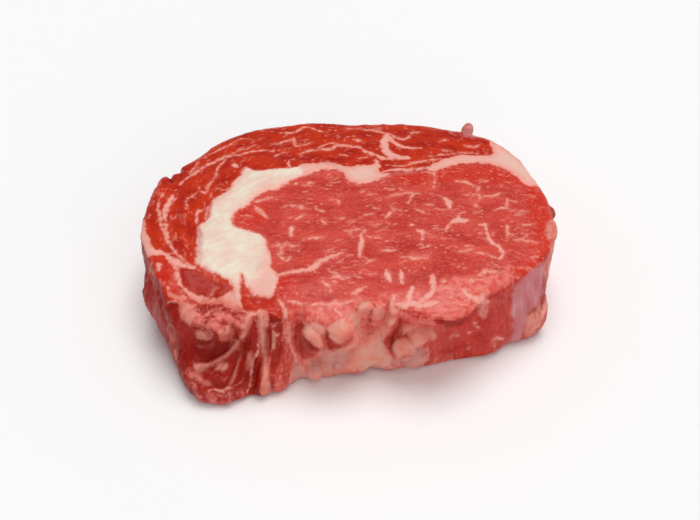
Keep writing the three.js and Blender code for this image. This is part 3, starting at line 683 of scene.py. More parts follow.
def seen_on_face(solid, pixel):
    """The place on the solid that a pixel shows or, past its rim, one level with the upper face."""
    eye, sight = sight_line(pixel)
    hit = solid.ray_cast(eye, sight)[0]
    return hit or eye + sight * ((THICKNESS - 1 - eye.z) / sight.z)


def picture_map(places):
    """Where the camera sees places, in the photograph's pixels, made as large as they are at LOOK_AT."""
    right, up, back = (np.array(axis) for axis in camera_axes())
    away = places - np.array(LOOK_AT) - back * CAMERA_DISTANCE
    depth = -(away @ back)
    focal = LENS / SENSOR * PHOTO_WIDTH
    return np.column_stack([
        PHOTO_WIDTH / 2 + focal * (away @ right) / depth,
        PHOTO_HEIGHT / 2 - focal * (away @ up) / depth,
    ]) * PIXEL


def in_sight(solid, places, chosen):
    """True for the chosen places that nothing hides from the camera."""
    eye = LOOK_AT + camera_axes()[2] * CAMERA_DISTANCE
    seen = np.zeros(len(places), bool)
    for index in np.flatnonzero(chosen):
        place = Vector(places[index])
        sight = (eye - place).normalized()
        seen[index] = solid.ray_cast(place + sight * 1.5, sight)[0] is None
    return seen


def outline_radius(turn):
    """The slab's plain outline in a direction in degrees, as part of the solid's own making."""
    angle = np.radians(turn)
    x = np.abs(np.cos(angle) / HALF_LENGTH) ** SQUARENESS
    y = np.abs(np.sin(angle) / HALF_WIDTH) ** SQUARENESS
    return (x + y) ** (-1 / SQUARENESS)


TURNS = np.linspace(0, 360, 721)
REACH = outline_radius(TURNS + SEAM_TURN)
STEPS = np.hypot(np.diff(REACH), np.radians(np.diff(TURNS)) * (REACH[1:] + REACH[:-1]) / 2)
ROUND = np.concatenate([[0], np.cumsum(STEPS)])  # way round the outline from SEAM_TURN


def turn_of(places):
    """Direction of places round the steak's middle, in degrees past SEAM_TURN."""
    angle = np.degrees(np.arctan2(places[:, 1] - CENTRE_Y, places[:, 0] - CENTRE_X))
    return (angle - SEAM_TURN) % 360


def wall_map(places):
    """Places as the way round the wall and the height."""
    return np.column_stack([np.interp(turn_of(places), TURNS, ROUND), places[:, 2]])


def face_map(places):
    return places[:, :2].copy()


def curve_through(points, closed=False, steps=5):
    """A smooth line through points (Catmull-Rom)."""
    points = np.asarray(points, float)
    if len(points) < 3:
        return points
    count = len(points)
    if closed:
        before, after = np.roll(points, 1, 0), np.roll(points, -1, 0)
        beyond = np.roll(points, -2, 0)
        spans = count
    else:
        padded = np.vstack([2 * points[0] - points[1], points, 2 * points[-1] - points[-2]])
        before, points, after, beyond = padded[:-3], padded[1:-2], padded[2:-1], padded[3:]
        spans = count - 1
    line = []
    for k in range(spans):
        a, b, c, d = before[k], points[k], after[k], beyond[k]
        for t in np.arange(steps) / steps:
            line.append(b + t / 2 * (c - a + t * (2 * a - 5 * b + 4 * c - d + t * (3 * (b - c) + d - a))))
    line.append(points[0] if closed else after[-1])
    return np.array(line)


def near_line(places, line):
    """How far places are from a line, and at what share of its length they are nearest."""
    away = np.full(len(places), np.inf)
    share = np.zeros(len(places))
    lengths = np.hypot(*np.diff(line, axis=0).T)
    starts = np.concatenate([[0], np.cumsum(lengths)])
    for start, end, length, before in zip(line[:-1], line[1:], lengths, starts):
        if length == 0:
            continue
        ahead = (end - start) / length
        run = np.clip((places - start) @ ahead, 0, length)
        gap = np.hypot(*(places - start - run[:, None] * ahead).T)
        closer = gap < away
        away[closer] = gap[closer]
        share[closer] = ((before + run) / starts[-1])[closer]
    return away, share


def inside_outline(places, line):
    """True where places lie inside a closed line."""
    inside = np.zeros(len(places), bool)
    x, y = places.T
    for (x1, y1), (x2, y2) in zip(line[:-1], line[1:]):
        if y1 == y2:
            continue
        crosses = (y1 > y) != (y2 > y)
        inside ^= crosses & (x < (x2 - x1) * (y - y1) / (y2 - y1) + x1)
    return inside


def smoothstep(low, high, value):
    t = np.clip((value - low) / (high - low), 0, 1)
    return t * t * (3 - 2 * t)


def between(value, rise, fall):
    """From 0 to 1 as the value passes the first range, and back to 0 as it passes the second."""
    return smoothstep(*rise, value) * (1 - smoothstep(*fall, value))


class Noise:
    """Seeded gradient noise, about -1 to 1."""

    def __init__(self, seed):
        draw = np.random.default_rng(seed)
        self.order = draw.permutation(256)
        slopes = draw.normal(size=(256, 3))
        self.slopes = slopes / np.linalg.norm(slopes, axis=1)[:, None]

    def __call__(self, places, size):
        scaled = places / np.asarray(size, float)
        cell = np.floor(scaled).astype(np.int64)
        part = scaled - cell
        fade = part**3 * (part * (part * 6 - 15) + 10)
        total = np.zeros(len(places))
        for corner in np.ndindex(2, 2, 2):
            corner = np.array(corner)
            at = (cell + corner) & 255
            pick = self.order[(self.order[(self.order[at[:, 0]] + at[:, 1]) & 255] + at[:, 2]) & 255]
            weight = np.prod(np.where(corner, fade, 1 - fade), axis=1)
            total += weight * np.einsum("ij,ij->i", self.slopes[pick], part - corner)
        return total * 1.6


def bumps(noise, places, layers):
    """The sum of several sizes of noise at places, each as high as its layer says."""
    return sum(noise(places, size) * height for size, height in layers)


# ---------------------------------------------------------------- the steak's mesh


def read(items, name, width, kind=float):
    """What every item of a mesh holds under a name, in rows that wide."""
    values = np.empty(len(items) * width, kind)
    items.foreach_get(name, values)
    return values.reshape(-1, width)


def add(name, data):
    """A new object in the scene."""
    made = bpy.data.objects.new(name, data)
    bpy.context.scene.collection.objects.link(made)
    return made


def packed_solid(node):
    """The CAD node as a tree to cast rays at, in millimetres."""
    node.data.calc_loop_triangles()
    places = read(node.data.vertices, "co", 3) * METRE
    corners = read(node.data.loop_triangles, "vertices", 3, int)
    return BVHTree.FromPolygons(places.tolist(), corners.tolist())


def fine_mesh(node):
    """The node's form again, as an even mesh of small faces."""
    piece = add("steak_meat", node.data.copy())
    piece.data.materials.clear()
    remesh = piece.modifiers.new("even", "REMESH")
    remesh.mode = "VOXEL"
    remesh.voxel_size = VOXEL / METRE
    remesh.use_smooth_shade = True
    graph = bpy.context.evaluated_depsgraph_get()
    even = bpy.data.meshes.new_from_object(piece.evaluated_get(graph))
    even.name = "steak_meat"
    piece.modifiers.clear()
    piece.data = even
    return piece


class Skin:
    """The fine mesh's points as arrays in millimetres, with what is marked on them."""

    def __init__(self, piece):
        self.mesh = piece.data
        count = len(self.mesh.vertices)
        self.places = read(self.mesh.vertices, "co", 3) * METRE
        self.edges = read(self.mesh.edges, "vertices", 2, int)
        self.degree = np.bincount(self.edges.ravel(), minlength=count)
        self.lift = np.zeros(count)
        self.power = np.zeros(count)
        self.fields = {}

    def field(self, name):
        if name not in self.fields:
            self.fields[name] = np.full(len(self.places), -DEPTH)
        return self.fields[name]

    def next_to(self, values):
        """The sum of the values next to each point."""
        a, b = self.edges.T
        count = len(self.places)
        return np.bincount(a, values[b], count) + np.bincount(b, values[a], count)

    def spread(self, values, rounds, share=0.5):
        """Values evened out along the mesh's edges."""
        for _ in range(rounds):
            columns = values.reshape(len(values), -1)
            mean = np.column_stack([self.next_to(column) for column in columns.T]) / self.degree[:, None]
            values = (columns + share * (mean - columns)).reshape(values.shape)
        return values

    def carry_on(self, known, wanted, rounds):
        """Carries the fields and the lift on from known points to the wanted points next to them, fading."""
        reached = np.zeros(len(self.places))
        reached[known] = 1
        open_points = np.zeros(len(self.places), bool)
        open_points[wanted] = True
        open_points[known] = False
        for _ in range(rounds):
            near = self.next_to(reached)
            new = open_points & (near > 0)
            for value in (self.lift, *self.fields.values()):
                value[new] = self.next_to(value * reached)[new] / near[new]
                if value is self.lift:
                    value[new] *= CARRY_LIFT
                else:
                    value[new] -= CARRY_LOSS
            reached[new] = 1
            open_points[new] = False

    def write(self):
        self.mesh.vertices.foreach_set("co", (self.places / METRE).ravel())
        self.mesh.update()

    def normals(self):
        self.write()
        return read(self.mesh.vertex_normals, "vector", 3)

    def push(self, amount):
        self.places += self.normals() * amount[:, None]

    def store(self, name, values):
        kind = "FLOAT" if values.ndim == 1 else "FLOAT_VECTOR"
        layer = self.mesh.attributes.new(name, kind, "POINT")
        layer.data.foreach_set("value" if values.ndim == 1 else "vector", values.astype(np.float32).ravel())


class Chart:
    """A flat map of part of the skin, on which marks are drawn."""

    def __init__(self, skin, chosen, flat, from_photo):
        self.skin = skin
        self.chosen = np.flatnonzero(chosen)
        self.flat = flat[chosen]
        self.from_photo = from_photo

    def around(self, line, margin):
        low, high = line.min(0) - margin, line.max(0) + margin
        near = np.all((self.flat > low) & (self.flat < high), axis=1)
        return self.chosen[near], self.flat[near]

    def mark(self, kind, where, depth, lift, rise, power=None):
        """Marks points as lying that far inside a kind of thing, and lifts them where rise is up to 1."""
        if kind == "lean":
            fat = self.skin.field("fat")
            fat[where] = np.minimum(fat[where], -depth)
        else:
            field = self.skin.field(kind)
            if power is not None:
                stronger = where[depth > field[where]]
                self.skin.power[stronger] = power
            field[where] = np.maximum(field[where], depth)
        self.skin.lift[where] += lift * rise

    def patch(self, kind, lift, points, sharpness=1.0):
        line = curve_through(points, closed=True)
        where, places = self.around(line, DEPTH)
        away, _ = near_line(places, line)
        away *= sharpness
        depth = np.clip(np.where(inside_outline(places, line), away, -away), -DEPTH, DEPTH)
        self.mark(kind, where, depth, lift, smoothstep(-0.3, 1.0 + abs(lift), depth))

    def line(self, kind, width, lift, points, power=None, steps=5):
        line = curve_through(points, steps=steps)
        where, places = self.around(line, width + 1.2)
        away, share = near_line(places, line)
        taper = 0.4 + 0.6 * np.sqrt(np.sin(np.pi * np.clip(share, 0, 1)))
        depth = np.clip(width / 2 * taper - away, -DEPTH, DEPTH)
        self.mark(kind, where, depth, lift, np.exp(-((away / (width * 0.6)) ** 2)), power)


def round_marks(points):
    """Directions and heights as places on the wall's map."""
    points = np.asarray(points, float)
    return np.column_stack([np.interp((points[:, 0] - SEAM_TURN) % 360, TURNS, ROUND), points[:, 1]])


def draw_marks(charts):
    """Draws every listed mark on the charts that its letters name, or on the hidden wall's."""
    for pixels in BLUSHES:
        charts["f"].patch("blush", 0, charts["f"].from_photo(pixels))
    for where, kind, lift, pixels in PATCHES:
        for letter in where:
            charts[letter].patch(kind, lift, charts[letter].from_photo(pixels))
    for where, kind, lift, marks in LINES:
        for width, pixels in marks:
            for letter in where:
                charts[letter].line(kind, width, lift, charts[letter].from_photo(pixels))
    charts["w"].skin.carry_on(charts["w"].chosen, charts["s"].chosen, CARRIED)
    for kind, lift, points in HIDDEN_PATCHES:
        charts["h"].patch(kind, lift, round_marks(points), 1.0 if kind == "fat" else SOFT)
    for kind, width, lift, points in HIDDEN_LINES:
        charts["h"].line(kind, width, lift, round_marks(points))


def scatter_flecks(chart, draw, flecks, flow, allowed, clusters):
    """Short curved flecks of fat, at random places on a chart, along its flow and denser in clusters."""
    count, size, width = flecks
    for pick in draw.integers(0, len(chart.flat), count):
        middle = chart.flat[pick]
        length, girth = size[0] + (size[1] - size[0]) * draw.random() ** 2, draw.uniform(*width)
        angle = flow(middle) + draw.normal() * 0.3
        bend, power = draw.normal() * 0.1 * length, 0.12 + 0.6 * draw.random() ** 1.6
        ahead = np.array([math.cos(angle), math.sin(angle)])
        aside = np.array([-ahead[1], ahead[0]])
        if allowed[chart.chosen[pick]] and draw.random() < clusters[chart.chosen[pick]]:
            ends = [middle - ahead * length / 2, middle + aside * bend, middle + ahead * length / 2]
            chart.line("fleck", girth, 0.03, ends, power, 2)


def unfold(skin, up):
    """A flat map of the whole surface: faces and overhangs seen straight on, and the wall in two strips."""
    mesh = skin.mesh
    corners = read(mesh.loops, "vertex_index", 1, int)[:, 0]
    sizes = read(mesh.polygons, "loop_total", 1, int)[:, 0]
    face = np.repeat(np.arange(len(sizes)), sizes)

    def middle(values):
        return (np.bincount(face, values[corners], len(sizes)) / sizes)[face]

    way, height = wall_map(skin.places).T
    way_to = np.exp(1j * way / ROUND[-1] * math.tau)
    centre_way = np.angle(middle(way_to.real) + 1j * middle(way_to.imag)) / math.tau % 1 * ROUND[-1]
    way = way[corners]
    way += np.round((centre_way - way) / ROUND[-1]) * ROUND[-1]
    strip = np.floor(centre_way / (ROUND[-1] / 2))
    x, y = (skin.places[corners, :2] - skin.places[:, :2].min(0)).T
    centre_up, centre_high = middle(up), middle(skin.places[:, 2])

    across = way - strip * ROUND[-1] / 2
    scale, corner = WALL_ISLAND
    spread = np.column_stack([across, height[corners]]) * scale + corner
    spread[:, 1] += strip * WALL_STRIPS
    for chosen, pair, (scale, corner) in (
        ((centre_up > 0.55) & (centre_high > THICKNESS - 11), (x, y), FACE_ISLAND),
        ((centre_up < -0.5) & (centre_high < FOOT), (y, x), UNDERSIDE_ISLAND),
        ((centre_up < -0.3) & (centre_high >= FOOT), (x, y), OVERHANG_ISLAND),
    ):
        spread[chosen] = (np.column_stack(pair) * scale + corner)[chosen]
    mesh.uv_layers.new(name="OFBake").data.foreach_set("uv", spread.ravel())


def build_steak(node):
    """The fine mesh round the solid, marked, in relief, with all that its material reads stored on it."""
    solid = packed_solid(node)
    piece = fine_mesh(node)
    skin = Skin(piece)
    skin.places = skin.spread(skin.places, EVENED)
    up = skin.spread(skin.normals()[:, 2], 6)
    high = skin.places[:, 2]

    top = (up > 0.35) & (high > THICKNESS - FACE_DEPTH)
    under = (up < -0.6) & (high < FOOT)
    side = ~under & ((up < 0.85) | (high < THICKNESS - 4))
    on_wall = np.maximum(1 - smoothstep(0.45, 0.8, up), 1 - smoothstep(THICKNESS - 6, THICKNESS - 2, high))
    on_wall[under] = 0

    # Maps for the marks. Their noise makes every mark's edge wander. The underside is the next cut through
    # the same muscles, so its marks stray further, and so do those of the hidden wall.
    stray = [Noise(SEED + k) for k in range(4)]
    (broad, far), (close, near) = EDGE_WAVES
    ragged = np.column_stack([
        stray[k](skin.places, broad) * far + stray[k + 2](skin.places, close) * near for k in range(2)
    ])
    drift = np.column_stack([noise(skin.places, 30) + 0.5 * noise(skin.places, 8) for noise in stray[:2]])
    drift *= DRIFT
    flat = face_map(skin.places) + ragged + np.where(under[:, None], drift, 0)
    round_way, _ = wall_map(skin.places).T
    side_map = wall_map(skin.places) + ragged
    seen = in_sight(solid, skin.places, side & (up > -0.75))

    def on_face(pixels):
        return face_map(np.array([seen_on_face(solid, pixel) for pixel in pixels]))

    def in_picture(pixels):
        return np.array(pixels) * PIXEL

    # the cut faces, the wall that the camera sees, and the whole wall for hidden marks and for flecks
    charts = {
        "f": Chart(skin, top | under, flat, on_face),
        "w": Chart(skin, seen, picture_map(skin.places) + ragged, in_picture),
        "h": Chart(skin, side, side_map + drift * 0.7, None),
        "s": Chart(skin, side, side_map, None),
    }
    draw_marks(charts)
    charts["f"].patch("eye", 0.0, charts["f"].from_photo(EYE))
    melting = smoothstep(-2, 1.5, skin.field("melt"))[:, None]
    skin.places += melting * (skin.spread(skin.places, MELTED) - skin.places)

    # How far each point of the wall stands out from what is round it. What stands out of the rib side is fat,
    # and the dry tag at the right is dry only where it stands out.
    reach = np.hypot(skin.places[:, 0] - CENTRE_X, skin.places[:, 1] - CENTRE_Y)
    turn = turn_of(skin.places) + SEAM_TURN
    proud = (reach - skin.spread(reach, NEARBY)) * on_wall
    rib_side = between(turn % 360, (RIB_SIDE[0] - 6, RIB_SIDE[0]), (RIB_SIDE[1], RIB_SIDE[1] + 6))
    fat = skin.field("fat")
    lumpy = (rib_side > 0.5) & (high < THICKNESS - 7)
    fat[:] = np.maximum(fat, np.where(lumpy, (proud - 0.45) * 1.3, -DEPTH))
    # Where the wall sinks in from what is round it, the material paints shade.
    recess_shade = smoothstep(0.25, 1.6, -proud)
    dry = skin.field("crust")
    upper = high > THICKNESS / 2
    dry[upper] = np.minimum(dry, proud * 1.5 - 0.5)[upper]

    # Grain: along and across the fibres' run, and a number that tells the cap, the eye, cut fat and the wall
    # apart. On the cut faces it follows the outline round the cap, and runs across the eye. On the wall it
    # goes up and down.
    out = reach - outline_radius(turn)
    eye = skin.field("eye") > 0
    swirl = stray[3](skin.places, 26) * 5
    grain = np.column_stack([round_way, out, np.zeros(len(out))])
    grain[eye] = np.column_stack([flat[:, 0], flat[:, 1] + swirl, np.full(len(out), 40.0)])[eye]
    slant = math.radians(KNIFE_SLANT)
    along = flat[:, 0] * math.cos(slant) + flat[:, 1] * math.sin(slant)
    across = flat[:, 1] * math.cos(slant) - flat[:, 0] * math.sin(slant)
    cut_fat = fat > -0.4
    grain[cut_fat] = np.column_stack([along, across, np.full(len(out), 140.0)])[cut_fat]
    side_on = on_wall > 0.5
    grain[side_on] = np.column_stack([high, round_way, np.full(len(out), 90.0)])[side_on]

    # On the wall, the eye muscle shows from the rib side round to behind the eye, and the cap elsewhere. The
    # meat hangs in strands on the tail and beside it.
    past = (turn - RIB_SIDE[0]) % 360
    eye_wall = np.clip(np.minimum(past, EYE_WALL - past), -DEPTH, DEPTH)
    skin.field("eye")[side_on] = eye_wall[side_on]
    strands = between(turn % 360, (STRANDS[0] - 8, STRANDS[0]), (STRANDS[1], STRANDS[1] + 4))
    strands = (0.25 + 0.75 * strands) * on_wall

    # Flecks. In the cap they lie round the steak's middle.
    def round_middle(at):
        return math.atan2(at[1] - CENTRE_Y, at[0] - CENTRE_X) + math.pi / 2

    draw = np.random.default_rng(SEED)
    in_meat = fat < -0.5
    clusters = smoothstep(-0.5, 0.6, stray[2](skin.places, 9))
    scatter_flecks(charts["f"], draw, EYE_FLECKS, lambda at: EYE_SLANT, in_meat & eye, clusters)
    scatter_flecks(charts["f"], draw, TINY_FLECKS, lambda at: TINY_SLANT, in_meat & top, clusters)
    scatter_flecks(charts["f"], draw, CAP_FLECKS, round_middle, in_meat & ~eye, clusters)
    scatter_flecks(charts["s"], draw, WALL_FLECKS, lambda at: WALL_SLANT, in_meat, clusters)

    # Relief.
    lump, fibre = Noise(SEED + 11), Noise(SEED + 12)
    places = skin.places.copy()
    fatty = smoothstep(-0.3, 0.5, fat)
    seam = np.exp(-((np.minimum(skin.field("seam"), 0) / 0.8) ** 2))
    lift = skin.spread(skin.lift, 1)
    lift += bumps(lump, places, SWELLS)
    lift -= SEAM_DIP * seam * (1 - fatty)
    lift += bumps(fibre, grain, FIBRES) * (1 - fatty) + bumps(fibre, grain, FINE_FIBRES)
    lift += fatty * (1 - on_wall) * bumps(fibre, grain, KNIFE_RIDGES)
    # on the wall the fat lies in lobes, with creases between them
    crease = np.exp(-((lump(places + drift[:, :1], (7, 7, 8)) / 0.1) ** 2))
    crease *= smoothstep(-0.1, 0.5, lump(places, 9))
    lift += fatty * on_wall * (bumps(lump, places, FAT_LOBES) - crease * CREASE_DIP)
    lift += bumps(fibre, grain, WALL_STRANDS) * strands + bumps(lump, places, WALL_LUMPS) * on_wall
    torn = smoothstep(-0.5, 1.0, skin.field("mottle"))
    torn *= 1 - 0.7 * smoothstep(-0.5, 0.5, skin.field("eye"))
    lift += torn * bumps(lump, places, TORN_LUMPS)
    lift += between(up, (0.15, 0.5), (0.5, 0.95)) * bumps(lump, places, RIM_LUMPS)
    # the underside lies flat, so its relief only goes in
    lift = np.where(under, np.minimum(lift - 0.25, 0) * 0.5, lift)
    skin.push(lift)
    skin.places[:, 2] = np.maximum(skin.places[:, 2], 0)
    skin.write()

    kinds = (
        "fat", "seam", "veil", "film", "ember", "mottle", "hollow_shade", "dark_shade", "crust", "fleck", "eye", "blush",
        "kernel",
    )
    for name in kinds:
        skin.store(name, skin.field(name))
    skin.store("fleck_power", skin.power)
    # painted shade: where the wall sinks in, and in the creases between the lobes of fat
    skin.store("recess_shade", np.maximum(recess_shade, fatty * on_wall * crease * 0.6))
    skin.store("on_wall", on_wall)
    skin.store("strands", strands)
    torn_wall = between(turn % 360, (STRANDS[0] - 4, STRANDS[0] + 4), (RIB_SIDE[1], RIB_SIDE[1] + 6))
    skin.store("salmon", np.maximum(torn_wall * on_wall, smoothstep(-0.5, 1, skin.field("salmon"))))
    skin.store("to_rim", np.where(under, -DEPTH * 4, out))
    skin.store("grain", grain)
    skin.mesh.polygons.foreach_set("use_smooth", np.ones(len(skin.mesh.polygons), bool))
    unfold(skin, up)
    return piece


# ---------------------------------------------------------------- material


def srgb(red, green, blue):
    """A colour given as the eye sees it, 0 to 255, as the renderer wants it."""
    def linear(value):
        value /= 255
        return value / 12.92 if value <= 0.04045 else ((value + 0.055) / 1.055) ** 2.4
    return (linear(red), linear(green), linear(blue), 1)


class Graph:
    """Short ways to make shader nodes."""

    def __init__(self, material):
        material.use_nodes = True
        self.tree = material.node_tree
        self.surface = self.tree.nodes["Principled BSDF"]

    def node(self, kind, **settings):
        made = self.tree.nodes.new(kind)
        for name, value in settings.items():
            setattr(made, name, value)
        return made

    def put(self, value, socket):
        """Links a socket to a value, or sets it to a number, or to a colour as srgb takes it."""
        if isinstance(value, bpy.types.NodeSocket):
            self.tree.links.new(value, socket)
        else:
            socket.default_value = srgb(*value) if isinstance(value, tuple) else value

    def attribute(self, name, vector=False):
        made = self.node("ShaderNodeAttribute", attribute_name=name)
        return made.outputs["Vector" if vector else "Fac"]

    def sum(self, operation, *values):
        made = self.node("ShaderNodeMath", operation=operation)
        for value, socket in zip(values, made.inputs):
            self.put(value, socket)
        return made.outputs[0]

    def scaled(self, vector, by):
        """A vector times one number, or times three."""
        made = self.node("ShaderNodeVectorMath", operation="MULTIPLY")
        self.put(vector, made.inputs[0])
        made.inputs[1].default_value = by if isinstance(by, tuple) else (by, by, by)
        return made.outputs[0]

    def noise(self, vector, scale, detail=2.0, roughness=0.5):
        made = self.node("ShaderNodeTexNoise")
        self.put(self.scaled(vector, scale), made.inputs["Vector"])
        made.inputs["Scale"].default_value = 1
        made.inputs["Detail"].default_value = detail
        made.inputs["Roughness"].default_value = roughness
        return made.outputs["Fac"]

    def ramp(self, value, low, high, bottom=0.0, top=1.0):
        """From bottom to top, smoothly, as the value goes from low to high."""
        made = self.node("ShaderNodeMapRange", interpolation_type="SMOOTHSTEP")
        for name, given in zip(("Value", "From Min", "From Max", "To Min", "To Max"),
                               (value, low, high, bottom, top)):
            self.put(given, made.inputs[name])
        return made.outputs["Result"]

    def mix(self, share, a, b):
        """Colour a, turning into colour b as the share goes from 0 to 1."""
        made = self.node("ShaderNodeMix", data_type="RGBA")
        self.put(share, made.inputs[0])
        self.put(a, made.inputs[6])
        self.put(b, made.inputs[7])
        return made.outputs[2]


def meat_material():
    """Lean meat, then over it in turn: flecks, seams, veils, fat, film, painted shade and dry edges."""
    material = bpy.data.materials.new("raw_meat")
    g = Graph(material)
    place = g.scaled(g.node("ShaderNodeTexCoord").outputs["Object"], METRE)
    grain = g.attribute("grain", vector=True)
    fat, seam, power, wall, recess_shade, strands, torn = (
        g.attribute(name) for name in ("fat", "seam", "fleck_power", "on_wall", "recess_shade", "strands", "salmon")
    )

    # How far each edge wanders, in millimetres.
    broad = g.noise(place, 0.5, 2)
    close = g.noise(place, 2.2, 2)
    wander = g.sum("MULTIPLY_ADD", broad, 1.4, g.sum("MULTIPLY_ADD", close, 0.9, -1.15))

    def marked(kind, low, high, stray=1.0, most=1.0):
        """From 0 to most as a kind's field, strayed that many times as far, goes from low to high."""
        return g.ramp(g.sum("MULTIPLY_ADD", wander, stray, g.attribute(kind)), low, high, 0, most)

    # Lean meat.
    patchy = g.noise(grain, (0.07, 0.16, 0.1), 3)
    bundle = g.noise(grain, (0.3, 0.9, 0.5), 3, 0.6)
    thread = g.noise(grain, (0.9, 2.4, 1.0), 3, 0.65)
    in_eye = marked("eye", -0.6, 0.6)
    patch = g.ramp(patchy, 0.32, 0.68)
    eye_red = g.mix(patch, (189, 46, 37), (213, 73, 61))
    cap_red = g.mix(patch, (169, 18, 2), (201, 47, 8))
    # The wall's reds are darker than the cut faces', the cap's wall most: painted shade over the meat's own
    # red.
    eye_wall = g.mix(patch, (188, 36, 28), (208, 62, 50))
    cap_wall_shaded = g.mix(patch, (138, 8, 2), (172, 30, 18))
    rim = marked("to_rim", -11.0, -2.0, 3.0, 0.8)
    eye_red = g.mix(rim, eye_red, (212, 42, 22))
    eye_red = g.mix(wall, eye_red, eye_wall)
    cap_red = g.mix(wall, cap_red, cap_wall_shaded)
    lean = g.mix(in_eye, cap_red, eye_red)
    ember_in = marked("ember", -2.0, 1.5, 2.0, 0.85)
    lean = g.mix(ember_in, lean, (206, 42, 20))
    light_red = g.mix(in_eye, (208, 62, 26), (232, 104, 88))
    pale_red = g.mix(in_eye, (216, 84, 46), (238, 132, 114))
    lean = g.mix(g.ramp(bundle, 0.5, 0.72, 0, 0.3), lean, light_red)
    lean = g.mix(g.ramp(bundle, 0.46, 0.28, 0, 0.35), lean, (140, 8, 4))
    lean = g.mix(g.ramp(thread, 0.54, 0.7, 0, 0.35), lean, pale_red)
    speck = g.noise(place, (0.95, 1.7, 1.3), 3, 0.65)
    crowd = g.ramp(g.noise(place, 0.13, 2), 0.4, 0.62, 0.1, 0.55)
    crowd = g.sum("MULTIPLY", crowd, g.ramp(in_eye, 0, 1, 0.2, 1))
    crowd = g.sum("MULTIPLY", crowd, g.ramp(wall, 0, 1, 1, 0.25))
    lean = g.mix(g.sum("MULTIPLY", crowd, g.ramp(speck, 0.54, 0.66)), lean, (240, 142, 126))
    stripe = g.noise(grain, (0.05, 0.75, 1.0), 3, 0.6)
    lean = g.mix(g.sum("MULTIPLY", strands, g.ramp(stripe, 0.48, 0.3, 0, 0.6)), lean, (124, 14, 12))
    lean = g.mix(g.sum("MULTIPLY", strands, g.ramp(stripe, 0.56, 0.74, 0, 0.4)), lean, (214, 92, 78))
    halo = g.ramp(g.sum("MAXIMUM", fat, seam), -2.2, 0.0, 0, 0.22)
    lean = g.mix(halo, lean, g.mix(in_eye, (220, 82, 50), (234, 112, 96)))
    cloudy = g.ramp(g.noise(place, 0.34, 4, 0.6), 0.36, 0.62, 0.0, 0.85)
    mottle_in = marked("mottle", -1.8, 1.8, 1.5)
    # In the eye the mottle is a lighter pink: partly its own tone, partly painted sheen on the front rim.
    raw = g.mix(g.ramp(broad, 0.4, 0.6), (176, 36, 38), lean)
    raw = g.mix(in_eye, raw, (218, 82, 70))
    lean = g.mix(mottle_in, lean, g.mix(cloudy, raw, (237, 129, 117)))

    # Flecks, seams and fat over it.
    fleck_in = marked("fleck", -0.4, 0.25, 0.4)
    colour = g.mix(g.sum("MULTIPLY", fleck_in, power), lean, (242, 156, 140))
    broken = g.ramp(g.noise(place, 0.5, 3), 0.32, 0.58, 0.3, 0.9)
    seam_in = marked("seam", -0.6, 0.5, 0.8)
    colour = g.mix(g.sum("MULTIPLY", seam_in, broken), colour, (240, 162, 146))
    threads = g.ramp(g.noise(grain, (0.2, 0.6, 1.0), 3, 0.55), 0.32, 0.62, 0.45, 0.92)
    veil_in = marked("veil", -1.0, 1.2, 0.9)
    colour = g.mix(g.sum("MULTIPLY", veil_in, threads), colour, (230, 146, 130))
    cream = g.mix(g.ramp(g.noise(place, 0.16, 3), 0.35, 0.68), (238, 226, 205), (238, 206, 188))
    scrape = g.noise(grain, (0.09, 0.55, 1.0), 3, 0.6)
    cream = g.mix(g.ramp(scrape, 0.5, 0.34, 0, 0.28), cream, (226, 190, 172))
    cream = g.mix(g.ramp(scrape, 0.56, 0.7, 0, 0.45), cream, (244, 236, 220))
    pink = g.mix(marked("blush", -4.0, 3.0, 2.5), cream, (240, 184, 170))
    tint = g.noise(place, 0.11, 3, 0.55)
    plain = g.mix(g.ramp(fat, 1.6, 3.6), (240, 172, 158), (236, 188, 173))
    flushed = g.mix(g.ramp(tint, 0.4, 0.6), (232, 150, 132), (236, 176, 158))
    plain = g.mix(g.sum("MULTIPLY", wall, 0.8), plain, flushed)
    pink = g.mix(marked("kernel", -1.0, 1.0), plain, pink)
    rosy = g.mix(marked("fat", -0.2, 1.4, 1.4), (238, 152, 138), pink)
    salmon = g.mix(g.ramp(tint, 0.34, 0.54), (224, 112, 96), (234, 142, 124))
    salmon = g.mix(g.ramp(tint, 0.48, 0.66), salmon, (229, 162, 145))
    rosy = g.mix(torn, rosy, salmon)
    fat_in = marked("fat", -0.6, 0.4, 1.5)
    colour = g.mix(fat_in, colour, rosy)
    film_in = marked("film", -0.8, 1.4, 1.5, 0.8)
    streaks = g.noise(grain, (0.06, 0.22, 1.0), 3, 0.5)
    skin = g.mix(g.ramp(streaks, 0.3, 0.52), (196, 106, 110), (208, 132, 136))
    skin = g.mix(g.ramp(streaks, 0.5, 0.7), skin, (222, 160, 160))
    skin = g.mix(torn, skin, g.mix(cloudy, (204, 138, 130), (216, 158, 150)))
    thin = marked("film", -1.5, 2.5, 2.5, 0.8)
    film_in = g.sum("MULTIPLY_ADD", torn, g.sum("SUBTRACT", thin, film_in), film_in)
    colour = g.mix(film_in, colour, skin)
    # Painted shade: a darker red where the wall sinks in, in the creases between lobes of fat, and on hollow
    # marks.
    hollow_shade_in = g.sum("MAXIMUM", recess_shade, marked("hollow_shade", -0.8, 0.8))
    colour = g.mix(g.sum("MULTIPLY", hollow_shade_in, 0.65), colour, (168, 26, 14))
    # Painted shadow: a darker red still on dark marks, in slits, creases, the notch and under the eye's flap.
    dark_shade_in = marked("dark_shade", -1.2, 1.0, 1.0, 0.8)
    colour = g.mix(dark_shade_in, colour, (148, 16, 8))
    crust_in = marked("crust", -0.8, 1.2, 1.0, 0.8)
    colour = g.mix(crust_in, colour, (124, 78, 66))
    g.put(colour, g.surface.inputs["Base Color"])

